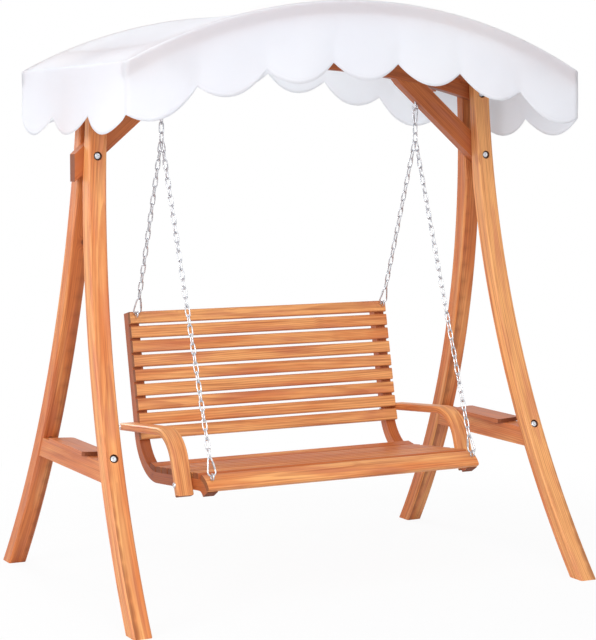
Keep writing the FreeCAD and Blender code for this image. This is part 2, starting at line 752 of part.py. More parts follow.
def side_frame_lines():
    """Points of the side frame, as a dictionary of vectors."""
    start, middle, finish, centre = bend_between(CORNER, UP_BACK, FORWARD, size("bend_radius"))
    inner = size("bend_radius") - DEPTH
    nose_start = CORNER + FORWARD * size("runner_length") + SEAT_FACE * DEPTH
    nose_centre = nose_start - SEAT_FACE * size("nose_radius")
    nose_angle = size("nose_turn") - size("seat_rise")
    nose_half = size("nose_turn") / 2 - size("seat_rise")
    nose_inner = size("nose_radius") - DEPTH
    return {
        "top_rear": CORNER + UP_BACK * size("stile_length"),
        "bend_start": start, "bend_middle": middle, "bend_finish": finish,
        "runner_end": nose_start - SEAT_FACE * DEPTH,
        "nose_inner_middle": nose_centre + polar(nose_half, nose_inner),
        "nose_inner_end": nose_centre + polar(nose_angle, nose_inner),
        "nose_end": nose_centre + polar(nose_angle, size("nose_radius")),
        "nose_middle": nose_centre + polar(nose_half, size("nose_radius")),
        "nose_start": nose_start, "nose_centre": nose_centre,
        "seat_finish": finish + SEAT_FACE * DEPTH,
        "seat_middle": centre + (middle - centre).normalize() * inner,
        "seat_start": start + BACK_FACE * DEPTH,
        "top_front": CORNER + UP_BACK * size("stile_length") + BACK_FACE * DEPTH,
        "bend_centre": centre,
    }


LINES = side_frame_lines()


def make_side_frame(label, side):
    """Laminated J: back stile, bend, seat runner and down-turned nose."""
    spot = {key: flat(value) for key, value in LINES.items()}
    outline = Outline(spot["top_rear"]).line(spot["bend_start"])
    outline.arc(spot["bend_middle"], spot["bend_finish"], "bend_radius").line(spot["runner_end"])
    outline.arc(spot["nose_inner_middle"], spot["nose_inner_end"]).line(spot["nose_end"])
    outline.arc(spot["nose_middle"], spot["nose_start"], "nose_radius").line(spot["seat_finish"])
    outline.arc(spot["seat_middle"], spot["seat_start"]).line(spot["top_front"]).close()
    blank = padded_outline(f"{label}_blank", "YZ_Plane", outline, "stile_width")
    x = side * (size("bench_width") - size("stile_width")) / 2
    blank.Placement.Base = Vector(x, 0, 0)
    tools = []
    for name, point in arm_bolt_points().items():
        start = point + Vector(side * size("bench_width") / 2, 0, 0)
        length = 2 * size("stile_width")
        tools.append(drill(f"{label}_{name}_hole", "arm_bolt", length, start, Vector(-side, 0, 0)))
    for name, (ring, shank) in bench_eyes().items():
        start = ring + shank * size("eye_radius") + Vector(side * size("hanger_x"), 0, 0)
        tools.append(drill(f"{label}_{name}_eye_hole", "eye_wire", size("eye_shank"), start, shank))
    return cut(label, blank, tools)


def bench_eyes():
    """Ring middles and shank directions of the bench eyes, in the Y-Z plane."""
    stand_off = size("eye_radius") + size("eye_wire") / 2 + size("eye_stand_off")
    rear_face = LINES["top_front"] - UP_BACK * size("rear_eye_drop") + BACK_FACE * size("slat_thickness")
    outward = polar(size("front_eye_angle"))
    front_face = LINES["nose_centre"] + outward * (size("nose_radius") + size("slat_thickness"))
    return {
        "rear": (rear_face + BACK_FACE * stand_off, -BACK_FACE),
        "front": (front_face + outward * stand_off, -outward),
    }


# Arms: a strip along the side, bent down into a post
ARM_FORWARD = polar(90 - size("arm_rise"))
ARM_TOP = Vector(0, ARM_FORWARD.z, -ARM_FORWARD.y)
ARM_DOWN = polar(180 - size("arm_rake"))
ARM_FRONT = Vector(0, ARM_DOWN.z, -ARM_DOWN.y)
ARM_REAR = Vector(0, size("arm_rear_y") + size("bench_shift"), size("arm_rear_z"))
ARM_CORNER = ARM_REAR + ARM_FORWARD * ((size("arm_rear_y") - size("arm_corner_y")) / -ARM_FORWARD.y)


def arm_bolt_points():
    """Where the arm bolts pass through the stile and the runner."""
    inset = ARM_TOP * (size("arm_thickness") / 2)
    stile_middle = CORNER + BACK_FACE * (DEPTH / 2)
    rise = (ARM_REAR - inset - stile_middle).dot(ARM_TOP) / UP_BACK.dot(ARM_TOP)
    post_face = ARM_CORNER + ARM_DOWN * (size("arm_post_length") - size("arm_foot_inset"))
    return {
        "stile": stile_middle + UP_BACK * rise,
        "runner": post_face - ARM_FRONT * (size("arm_thickness") / 2),
    }


def make_arm(label, side):
    """Bent arm outside a side frame, bolted to its stile and runner."""
    thick = size("arm_thickness")
    radius = size("arm_bend_radius")
    start, middle, finish, centre = bend_between(ARM_CORNER, -ARM_FORWARD, ARM_DOWN, radius)
    inner_middle = centre + (middle - centre).normalize() * (radius - thick)
    foot = ARM_CORNER + ARM_DOWN * size("arm_post_length")
    rear_round = ARM_REAR - ARM_FORWARD * (thick / 2) - ARM_TOP * (thick / 2)
    outline = Outline(flat(ARM_REAR)).line(flat(start))
    outline.arc(flat(middle), flat(finish), "arm_bend_radius").line(flat(foot))
    outline.line(flat(foot - ARM_FRONT * thick)).line(flat(finish - ARM_FRONT * thick))
    outline.arc(flat(inner_middle), flat(start - ARM_TOP * thick))
    outline.line(flat(ARM_REAR - ARM_TOP * thick)).arc(flat(rear_round), outline.start)
    blank = padded_outline(f"{label}_blank", "YZ_Plane", outline, "arm_width")
    bevel_rims(blank, Vector(1, 0, 0), size("arm_width") / 2, "arm_bevel")
    blank.Placement.Base = Vector(side * (size("bench_width") + size("arm_width")) / 2, 0, 0)
    tools = []
    for name, point in arm_bolt_points().items():
        start = point + Vector(side * size("bench_width") / 4, 0, 0)
        length = size("bench_width")
        tools.append(drill(f"{label}_{name}_hole", "arm_bolt", length, start, Vector(side, 0, 0)))
    return cut(label, blank, tools)


def rounded_bar(label, width):
    """Slat along X with two rounded edges: its own Y is across the slat and its own Z the thickness."""
    half = size(width) / 2
    thick = size("slat_thickness")
    radius = size("slat_round")
    corner = []
    for turn in (0, 30, 60, 90):
        point = polar(turn - 90, radius)
        corner.append((half - radius + point.y, thick - radius + point.z))
    outline = Outline((-half, 0)).line((half, 0))
    for y, z in corner:
        outline.line((y, z))
    for y, z in reversed(corner):
        outline.line((-y, z))
    return padded_outline(label, "YZ_Plane", outline.close(), "bench_width")


def bend_point(start, turn):
    """Point of the bend's inner line, turned about the bend's centre from one of its ends."""
    return LINES["bend_centre"] + Rotation(Vector(1, 0, 0), turn).multVec(start - LINES["bend_centre"])


def back_point(distance):
    """Point of the stile's front line, measured down from its top and on round the bend."""
    straight = (LINES["top_front"] - LINES["seat_start"]).Length
    if distance <= straight:
        return LINES["top_front"] - UP_BACK * distance
    turn = (distance - straight) / (size("bend_radius") - DEPTH)
    return bend_point(LINES["seat_start"], -math.degrees(turn))


def seat_point(distance):
    """Point of the runner's seat line, measured back from the nose and on round the bend."""
    straight = (LINES["nose_start"] - LINES["seat_finish"]).Length
    if distance <= straight:
        return LINES["nose_start"] - FORWARD * distance
    turn = (distance - straight) / (size("bend_radius") - DEPTH)
    return bend_point(LINES["seat_finish"], math.degrees(turn))


def slat_placement(front, rear):
    """Placement of a slat that lies on two points of the side frame's line."""
    across = (rear - front).normalize()
    face = Vector(1, 0, 0).cross(across)
    return Placement((front + rear) * 0.5, Rotation(Vector(1, 0, 0), across, face, "ZXY"))


def back_slat_placement(number):
    """Placement of a back slat, counted from the top."""
    first = number * size("back_slat_pitch")
    return slat_placement(back_point(first + size("back_slat_height")), back_point(first))


def seat_slat_placement(number):
    """Placement of a seat slat, counted from the front."""
    first = size("seat_slat_start") + number * size("seat_slat_pitch")
    return slat_placement(seat_point(first), seat_point(first + size("seat_slat_width")))


def make_front_board(label):
    """Rounded board over the noses of the side frames."""
    inner = size("nose_radius")
    outer = inner + size("slat_thickness")
    angles = [size("front_board_start"), size("front_board_end")]
    half_angle = sum(angles) / 2
    centre = LINES["nose_centre"]

    def spot(angle, radius):
        return flat(centre + polar(angle, radius))

    nip = math.degrees(size("slat_round") / outer)
    outline = Outline(spot(angles[0], inner))
    outline.arc(spot(half_angle, inner), spot(angles[1], inner), "nose_radius")
    outline.line(spot(angles[1], outer - size("slat_round"))).line(spot(angles[1] - nip, outer))
    outline.arc(spot(half_angle, outer), spot(angles[0] + nip, outer))
    outline.line(spot(angles[0], outer - size("slat_round"))).close()
    blank = padded_outline(f"{label}_blank", "YZ_Plane", outline, "bench_width")
    ring, shank = bench_eyes()["front"]
    tools = []
    for side_name, side in SIDES.items():
        start = ring + shank * size("eye_radius") + Vector(side * size("hanger_x"), 0, 0)
        tools.append(drill(f"{label}_{side_name}_hole", "eye_wire", size("eye_shank"), start, shank))
    return cut(label, blank, tools)


def make_bench():
    """Side frames, slats, front board and arms."""
    for side_name, side in SIDES.items():
        make_side_frame(f"{side_name}_side_frame", side)
        make_arm(f"{side_name}_arm", side)
    ring, shank = bench_eyes()["rear"]
    for number in range(BACK_SLATS):
        label = f"back_slat_{number + 1}"
        top_slat = number == 0
        slat = rounded_bar(f"{label}_blank" if top_slat else label, "back_slat_height")
        slat.Placement = back_slat_placement(number)
        if not top_slat:
            node(slat, label)
            continue
        tools = []
        for side_name, side in SIDES.items():
            start = ring + shank * size("eye_radius") + Vector(side * size("hanger_x"), 0, 0)
            tools.append(drill(f"{label}_{side_name}_hole", "eye_wire", size("eye_shank"), start, shank))
        cut(label, slat, tools)
    for number in range(SEAT_SLATS):
        label = f"seat_slat_{number + 1}"
        slat = rounded_bar(label, "seat_slat_width")
        slat.Placement = seat_slat_placement(number)
        node(slat, label)
    make_front_board("front_board")


make_bench()


# Bench fasteners
def make_arm_bolts():
    """Round-headed bolts through the arms and side frames, with their nuts."""
    length = size("arm_width") + size("stile_width")
    head_height = 5
    nut_radius = 7.5
    bolt = domed_bolt(size("arm_bolt_head") / 2, head_height, size("arm_bolt") / 2, length, nut_radius)
    bolts = []
    for side in SIDES.values():
        for point in arm_bolt_points().values():
            start = point + Vector(side * (size("bench_width") / 2 + size("arm_width")), 0, 0)
            bolts.append(placed(bolt, along(start, Vector(-side, 0, 0))))
    group("arm_bolts", bolts)


make_arm_bolts()
bench_eye_shapes = []
for side in SIDES.values():
    for ring, shank in bench_eyes().values():
        x_axis = Vector(1, 0, 0).cross(shank)
        frame = frame_of(ring + Vector(side * size("hanger_x"), 0, 0), x_axis, shank)
        bench_eye_shapes.append(placed(eye(size("eye_shank")), frame))
group("bench_eyes", bench_eye_shapes)


# Snap hooks, their gates and the chains
PIVOT_ALONG = 9.0
STUB_END = 5.0
NOSE_GAP = 6.0
GATE_PLAY = 0.5
NARROW_BENDS = 3
WIDE_BENDS = 5
TONGUE = ((2, -2.2), (9, -2.2), (11, -1), (11, 1), (9, 2.2), (2, 2.2))
TONGUE_HALF = 1.1
RIVET_RADIUS = 1.2
RIVET_HALF = 3.4
GATE_HALF = 3.0
GATE_HALF_WIDTH = 2.8
GATE_HEEL = 7.0
GATE_HEEL_HALF_WIDTH = 1.2
FORK = ((5, -4), (12.5, -4), (12.5, 4), (5, 4))
FORK_HALF = 1.35
RIVET_HOLE_RADIUS = 1.65
RIVET_HOLE_HALF = 4.0


def hook_side():
    """Tangent point at the narrow end, direction, length and slant of a hook's straight side."""
    wide = size("hook_wide_radius")
    narrow = size("hook_narrow_radius")
    span = size("hook_length") - wide - narrow
    slant = math.asin((wide - narrow) / span)
    tangent = Vector(narrow * math.cos(slant), 0, size("hook_length") - narrow + narrow * math.sin(slant))
    return tangent, Vector(math.sin(slant), 0, -math.cos(slant)), span * math.cos(slant), slant


def hook_prism(corners, half_thickness):
    """Plate in the hook's plane from corners given along and across its straight side."""
    tangent, run, _, _ = hook_side()
    across = Vector(-run.z, 0, run.x)
    near = tangent + Vector(0, -half_thickness, 0)
    points = [near + run * step + across * aside for step, aside in corners]
    return Part.Face(Part.makePolygon(points + points[:1])).extrude(Vector(0, 2 * half_thickness, 0))


def pivot_prism(radius, half_thickness):
    """Six-sided pin across the hook at the gate's pivot."""
    corners = []
    for turn in range(6):
        angle = math.radians(60 * turn)
        corners.append((PIVOT_ALONG + radius * math.cos(angle), radius * math.sin(angle)))
    return hook_prism(corners, half_thickness)


def snap_hook():
    """Bent wire hook with the tongue and rivet that carry its gate; wide end at Z = 0."""
    tangent, run, length, slant = hook_side()
    narrow_middle = Vector(0, 0, size("hook_length") - size("hook_narrow_radius"))
    wide_middle = Vector(0, 0, size("hook_wide_radius"))
    points = [tangent + run * STUB_END]
    bends = ((narrow_middle, size("hook_narrow_radius"), slant, math.pi - slant, NARROW_BENDS),
             (wide_middle, size("hook_wide_radius"), math.pi - slant, 2 * math.pi + slant, WIDE_BENDS))
    for middle, radius, begin, finish, steps in bends:
        for step in range(steps + 1):
            turn = begin + (finish - begin) * step / steps
            points.append(middle + Vector(math.cos(turn) * radius, 0, math.sin(turn) * radius))
    points.append(tangent + run * (length - NOSE_GAP))
    wire = bent_bar(points, size("hook_wire") / 2, False, Vector(0, 1, 0))
    tongue = hook_prism(TONGUE, TONGUE_HALF)
    return wire.fuse([tongue, pivot_prism(RIVET_RADIUS, RIVET_HALF)]).removeSplitter()


def hook_gate():
    """Gate that closes a snap hook, forked round the tongue."""
    _, _, length, _ = hook_side()
    tip = length - NOSE_GAP - GATE_PLAY
    heel = (GATE_HEEL, GATE_HEEL_HALF_WIDTH)
    shoulder = (PIVOT_ALONG, GATE_HALF_WIDTH)
    half = [heel, shoulder, (tip, GATE_HALF_WIDTH)]
    plate = hook_prism([(step, -aside) for step, aside in half] + half[::-1], GATE_HALF)
    fork = hook_prism(FORK, FORK_HALF)
    return plate.cut(fork).cut(pivot_prism(RIVET_HOLE_RADIUS, RIVET_HOLE_HALF))


def chain_link(inner_width):
    """Link round its own middle: length along Z, width along X."""
    half_width = (inner_width + size("link_wire")) / 2
    half_length = (size("link_inner_length") + size("link_wire")) / 2
    shoulder = half_length - 0.75 * half_width
    quarter = [(half_width, shoulder), (half_width / 2, half_length)]
    upper = quarter + [(-x, z) for x, z in reversed(quarter)]
    points = [Vector(x, 0, z) for x, z in upper] + [Vector(-x, 0, -z) for x, z in upper]
    return bent_bar(points, size("link_wire") / 2, True, Vector(0, 1, 0), LINK_FLATS)


def hang_offset(wire):
    """From the middle of a wire to the middle of the link that hangs in it."""
    return size("link_inner_length") / 2 - wire / 2 - size("play")


def hanging_line():
    """Heights of the pieces that hang straight under a hanger eye."""
    pivot = hanger_ring_z() - size("eye_radius")
    crown = pivot + (size("eye_wire") + size("hook_wire")) / 2 + size("eye_play")
    narrow = crown - size("hook_length")
    link = narrow - hang_offset(size("hook_wire"))
    ring = link - size("link_inner_length") + size("play")
    parting = ring - (size("link_inner_length") + size("link_wire")) / 2
    return {"pivot": pivot, "crown": crown, "link": link, "ring": ring, "parting": parting}


def chain_run(end_name):
    """Lower hook's wide end, chain direction and link middles of one chain, in the Y-Z plane."""
    end = ENDS[end_name]
    count = FRONT_CHAIN_LINKS if end < 0 else REAR_CHAIN_LINKS
    parting = Vector(0, end * size("chain_parting"), hanging_line()["parting"])
    ring, _ = bench_eyes()[end_name]
    upward = (parting - ring).normalize()
    wires = (size("eye_wire") + size("hook_wire")) / 2
    crown = ring + upward * (size("eye_radius") - wires - size("eye_play"))
    narrow = crown + upward * size("hook_length")
    last = narrow + upward * hang_offset(size("hook_wire"))
    first = parting - upward * hang_offset(size("link_wire"))
    middles = [first + (last - first) * (index / (count - 1)) for index in range(count)]
    return crown, upward, middles


def hook_frames():
    """Placements of the six snap hooks by name."""
    frames = {}
    for side_name, side in SIDES.items():
        aside = Vector(side * size("hanger_x"), 0, 0)
        top = aside + Vector(0, 0, hanging_line()["crown"])
        frames[f"{side_name}_top"] = frame_of(top, Vector(0, 1, 0), Vector(0, 0, -1))
        for end_name in ENDS:
            crown, upward, _ = chain_run(end_name)
            frames[f"{side_name}_{end_name}"] = frame_of(aside + crown, Vector(-side, 0, 0), upward)
    return frames


def make_chains():
    """Snap hooks, gates, upper links and the four chains."""
    hook = snap_hook()
    gate = hook_gate()
    frames = hook_frames()
    group("snap_hooks", [placed(hook, frame) for frame in frames.values()])
    for name, frame in frames.items():
        group(f"{name}_gate", [placed(gate, frame)])
    link = chain_link(size("link_inner_width"))
    ring = chain_link(size("ring_inner_width"))
    down = Vector(0, 0, -1)
    upper = []
    for side in SIDES.values():
        heights = hanging_line()
        aside = Vector(side * size("hanger_x"), 0, 0)
        upper.append(placed(link, frame_of(aside + Vector(0, 0, heights["link"]), Vector(1, 0, 0), down)))
        upper.append(placed(ring, frame_of(aside + Vector(0, 0, heights["ring"]), Vector(0, 1, 0), down)))
    group("upper_links", upper)
    for side_name, side in SIDES.items():
        for end_name in ENDS:
            _, upward, middles = chain_run(end_name)
            widths = (Vector(1, 0, 0), upward.cross(Vector(1, 0, 0)))
            links = []
            for index, middle in enumerate(middles):
                place = middle + Vector(side * size("hanger_x"), 0, 0)
                links.append(placed(link, frame_of(place, widths[index % 2], upward)))
            group(f"{side_name}_{end_name}_chain", links)


make_chains()


# Checks and the files of the pieces
def check():
    """Stop when a piece failed to build."""
    doc.recompute()
    for item in doc.Objects:
        if {"Invalid", "Error"} & set(item.State):
            raise RuntimeError(f"{item.Label} failed: {item.State}")
    for piece in nodes:
        if piece.Shape.isNull() or not piece.Shape.isValid():
            raise RuntimeError(f"{piece.Label} has no valid shape")
    for end_name in ENDS:
        middles = chain_run(end_name)[2]
        spare = size("link_inner_length") - (middles[1] - middles[0]).Length
        print(f"{end_name} chain: play between links {spare:.3f}")


def write():
    """Write each piece to its own file."""
    os.makedirs("parts", exist_ok=True)
    for piece in nodes:
        piece.Shape.exportStep(f"parts/{piece.Label}.step")
    print(f"{len(nodes)} pieces written")


check()
write()
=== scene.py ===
"""Looks of the canopy garden swing: stained larch, bright zinc and a scalloped cloth canopy.
"""
import json
import logging
import math
import random
from collections.abc import Callable, Iterable
from dataclasses import dataclass, field
from enum import Enum
from typing import NamedTuple

import bmesh
import bpy
from mathutils import Matrix, Vector, noise

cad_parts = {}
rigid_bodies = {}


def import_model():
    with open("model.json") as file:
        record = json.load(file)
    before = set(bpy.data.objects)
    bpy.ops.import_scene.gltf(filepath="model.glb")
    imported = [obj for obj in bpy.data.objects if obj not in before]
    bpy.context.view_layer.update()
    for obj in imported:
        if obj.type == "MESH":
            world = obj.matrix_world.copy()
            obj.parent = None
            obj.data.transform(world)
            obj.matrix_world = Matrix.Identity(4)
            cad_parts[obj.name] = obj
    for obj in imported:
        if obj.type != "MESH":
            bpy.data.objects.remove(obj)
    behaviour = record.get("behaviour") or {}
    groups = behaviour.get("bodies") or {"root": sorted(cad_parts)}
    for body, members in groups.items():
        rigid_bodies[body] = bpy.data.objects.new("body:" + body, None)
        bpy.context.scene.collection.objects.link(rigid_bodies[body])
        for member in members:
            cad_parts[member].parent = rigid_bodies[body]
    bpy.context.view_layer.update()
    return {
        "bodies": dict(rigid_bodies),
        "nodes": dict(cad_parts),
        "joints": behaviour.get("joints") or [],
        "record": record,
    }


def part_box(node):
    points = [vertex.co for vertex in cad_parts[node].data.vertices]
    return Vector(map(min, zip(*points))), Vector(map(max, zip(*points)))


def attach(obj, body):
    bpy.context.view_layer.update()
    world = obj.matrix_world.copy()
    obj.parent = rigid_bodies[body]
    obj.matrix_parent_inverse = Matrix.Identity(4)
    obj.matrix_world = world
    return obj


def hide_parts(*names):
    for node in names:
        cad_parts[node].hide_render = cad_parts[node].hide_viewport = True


LOG = logging.getLogger("garden_swing")
Colour = tuple[float, float, float]
Place = tuple[float, float, float]
Span = tuple[float, float]
Axis = tuple[Vector, Vector]
SIDES = {"left": -1, "right": 1}
ENDS = {"front": -1, "rear": 1}
ALONG_X = Vector((1.0, 0.0, 0.0))
ALONG_Y = Vector((0.0, 1.0, 0.0))
UP = Vector((0.0, 0.0, 1.0))
WHITE = (1.0, 1.0, 1.0, 1.0)
# Cosine past which a face counts as square to an axis
SQUARE = 0.9


def light(colour: Colour) -> tuple[float, float, float, float]:
    """Turn a colour as a screen shows it into the light values that a shader takes.

    Args:
        colour: red, green and blue from 0 to 255.

    Returns:
        Linear red, green and blue, and a full alpha.
    """
    shares = [channel / 255 for channel in colour]
    values = [s / 12.92 if s <= 0.04045 else ((s + 0.055) / 1.055) ** 2.4 for s in shares]
    return (values[0], values[1], values[2], 1.0)


def polar(degrees: float) -> Vector:
    """Unit direction in the Y-Z plane, at an angle from upright towards the front."""
    turn = math.radians(degrees)
    return Vector((0.0, -math.sin(turn), math.cos(turn)))


def bend_centre(corner: Vector, toward: Vector, away: Vector, radius: float) -> Vector:
    """Centre of the arc that rounds a corner.

    Args:
        corner: where two straight lines would meet.
        toward: unit direction along the first line.
        away: unit direction along the second line.
        radius: the arc's radius.

    Returns:
        The centre.
    """
    return corner + (toward + away).normalized() * (radius / math.sin(toward.angle(away) / 2))


@dataclass(frozen=True)
class LegLines:
    """Lines of the bowed legs: arcs in the Y-Z plane, and a lean towards the middle."""

    foot_x: float = 0.850
    lean: float = math.radians(3.2)
    hollow_radius: float = 2.939
    centre_y: float = 3.003
    centre_z: float = 1.742
    depth: float = 0.061

    def middle_x(self, z: float) -> float:
        """How far to the side a leg's middle is at a height."""
        return self.foot_x - math.tan(self.lean) * z

    def hollow_y(self, z: float) -> float:
        """How far to the front or rear a leg's hollow face is at a height."""
        return self.centre_y - math.sqrt(self.hollow_radius ** 2 - (self.centre_z - z) ** 2)

    def inward_axis(self, side: int, end: int, height: float) -> Axis:
        """Axis into a leg, square to its hollow face.

        Args:
            side: -1 for left, 1 for right.
            end: -1 for front, 1 for rear.
            height: where the axis meets the face, measured along the lean.

        Returns:
            The point on the face, and the direction.
        """
        y = self.hollow_y(height)
        lean = Matrix.Rotation(-side * self.lean, 3, "Y")
        point = lean @ Vector((0.0, end * y, height))
        inwards = lean @ Vector((0.0, end * (y - self.centre_y), height - self.centre_z))
        return point + ALONG_X * (side * self.foot_x), inwards / self.hollow_radius


@dataclass(frozen=True)
class BenchLines:
    """Lines of the bench's sides in the Y-Z plane, with angles in degrees."""

    half_width: float = 0.525
    # Where the rear lines of stile and runner would meet
    corner: Place = (0.0, 0.1776, 0.343)
    recline: float = 12.5
    seat_rise: float = 5.3
    bend_radius: float = 0.190
    stile_length: float = 0.597
    stile_depth: float = 0.038
    stile_width: float = 0.040
    runner_length: float = 0.520
    nose_radius: float = 0.070
    slat_thickness: float = 0.020
    # Arm's rear end on its top line, and its reach along Y to the corner over its post
    arm_rear: Place = (0.0, 0.2116, 0.547)
    arm_reach: float = 0.436
    arm_rise: float = 5.0
    arm_rake: float = 20.0
    arm_bend_radius: float = 0.140
    arm_width: float = 0.060
    arm_thickness: float = 0.025
    # From that corner down the post to the lower bolt
    arm_bolt_drop: float = 0.188
    # Rear eyes below the stiles' tops, front eyes round the nose, and all eyes from the slats
    rear_eye_drop: float = 0.012
    front_eye_angle: float = 35.0
    eye_gap: float = 0.002

    @property
    def up_back(self) -> Vector:
        """Direction up the back stiles."""
        return polar(-self.recline)

    @property
    def back_face(self) -> Vector:
        """Direction that the back faces."""
        return polar(90 - self.recline)

    @property
    def forward(self) -> Vector:
        """Direction along the seat runners to the front."""
        return polar(90 - self.seat_rise)

    @property
    def arm_forward(self) -> Vector:
        """Direction along the arms to the front."""
        return polar(90 - self.arm_rise)

    @property
    def arm_down(self) -> Vector:
        """Direction down the arms' posts."""
        return polar(180 - self.arm_rake)

    @property
    def arm_corner(self) -> Vector:
        """Where the outer lines of an arm and its post would meet."""
        return Vector(self.arm_rear) + self.arm_forward * (self.arm_reach / -self.arm_forward.y)

    def eye(self, end_name: str, reach: float) -> Axis:
        """Place of the bench eyes at one end.

        Args:
            end_name: front or rear.
            reach: outer radius of an eye's ring.

        Returns:
            The middle of the ring, and the direction away from the wood.
        """
        corner = Vector(self.corner)
        if end_name == "rear":
            outward = self.back_face
            height = self.stile_length - self.rear_eye_drop
            face = corner + self.up_back * height + outward * self.stile_depth
        else:
            outward = polar(self.front_eye_angle)
            nose = polar(-self.seat_rise) * (self.stile_depth - self.nose_radius)
            face = corner + self.forward * self.runner_length + nose + outward * self.nose_radius
        return face + outward * (self.slat_thickness + self.eye_gap + reach), outward

    def arm_bolts(self) -> tuple[Vector, Vector]:
        """Where the arm bolts pass.

        Returns:
            The middle of the stile at the arm, and the middle of the post at the runner.
        """
        arm_top = polar(-self.arm_rise)
        stile = Vector(self.corner) + self.back_face * (self.stile_depth / 2)
        arm = Vector(self.arm_rear) - arm_top * (self.arm_thickness / 2)
        rise = (arm - stile).dot(arm_top) / self.up_back.dot(arm_top)
        post = self.arm_corner + self.arm_down * self.arm_bolt_drop
        return stile + self.up_back * rise, post - polar(90 - self.arm_rake) * (self.arm_thickness / 2)


class Wire:
    """A shader value; Python's operators on it add Math nodes."""

    def __init__(self, recipe: "Recipe", socket: bpy.types.NodeSocket) -> None:
        """Keep the recipe and the output that the value comes from."""
        self.recipe = recipe
        self.socket = socket

    def join(self, operation: str, *operands: "Wire | float") -> "Wire":
        """Add a Math node.

        Args:
            operation: the Math node's operation.
            operands: its inputs, in order.

        Returns:
            The node's result.
        """
        return self.recipe.add("ShaderNodeMath", {"operation": operation}, dict(enumerate(operands)))

    def __add__(self, other: "Wire | float") -> "Wire":
        """Sum."""
        return self.join("ADD", self, other)

    def __radd__(self, other: float) -> "Wire":
        """Sum with a plain number first."""
        return self.join("ADD", other, self)

    def __sub__(self, other: "Wire | float") -> "Wire":
        """Difference."""
        return self.join("SUBTRACT", self, other)

    def __rsub__(self, other: float) -> "Wire":
        """Difference from a plain number."""
        return self.join("SUBTRACT", other, self)

    def __mul__(self, other: "Wire | float") -> "Wire":
        """Product."""
        return self.join("MULTIPLY", self, other)

    def __rmul__(self, other: float) -> "Wire":
        """Product with a plain number first."""
        return self.join("MULTIPLY", other, self)

    def __truediv__(self, other: "Wire | float") -> "Wire":
        """Quotient."""
        return self.join("DIVIDE", self, other)

    def __rtruediv__(self, other: float) -> "Wire":
        """Plain number divided by the value."""
        return self.join("DIVIDE", other, self)

    def __abs__(self) -> "Wire":
        """Size without its sign."""
        return self.join("ABSOLUTE", self)

    def floor(self) -> "Wire":
        """Whole number below."""
        return self.join("FLOOR", self)

    def fract(self) -> "Wire":
        """Part above the whole number below."""
        return self.join("FRACT", self)

    def root(self) -> "Wire":
        """Square root."""
        return self.join("SQRT", self)

    def sine(self) -> "Wire":
        """Sine of an angle in radians."""
        return self.join("SINE", self)

    def above(self, limit: "Wire | float") -> "Wire":
        """One where the value is over a limit, and zero elsewhere."""
        return self.join("GREATER_THAN", self, limit)

    def at_least(self, limit: "Wire | float") -> "Wire":
        """The larger of the value and a limit."""
        return self.join("MAXIMUM", self, limit)


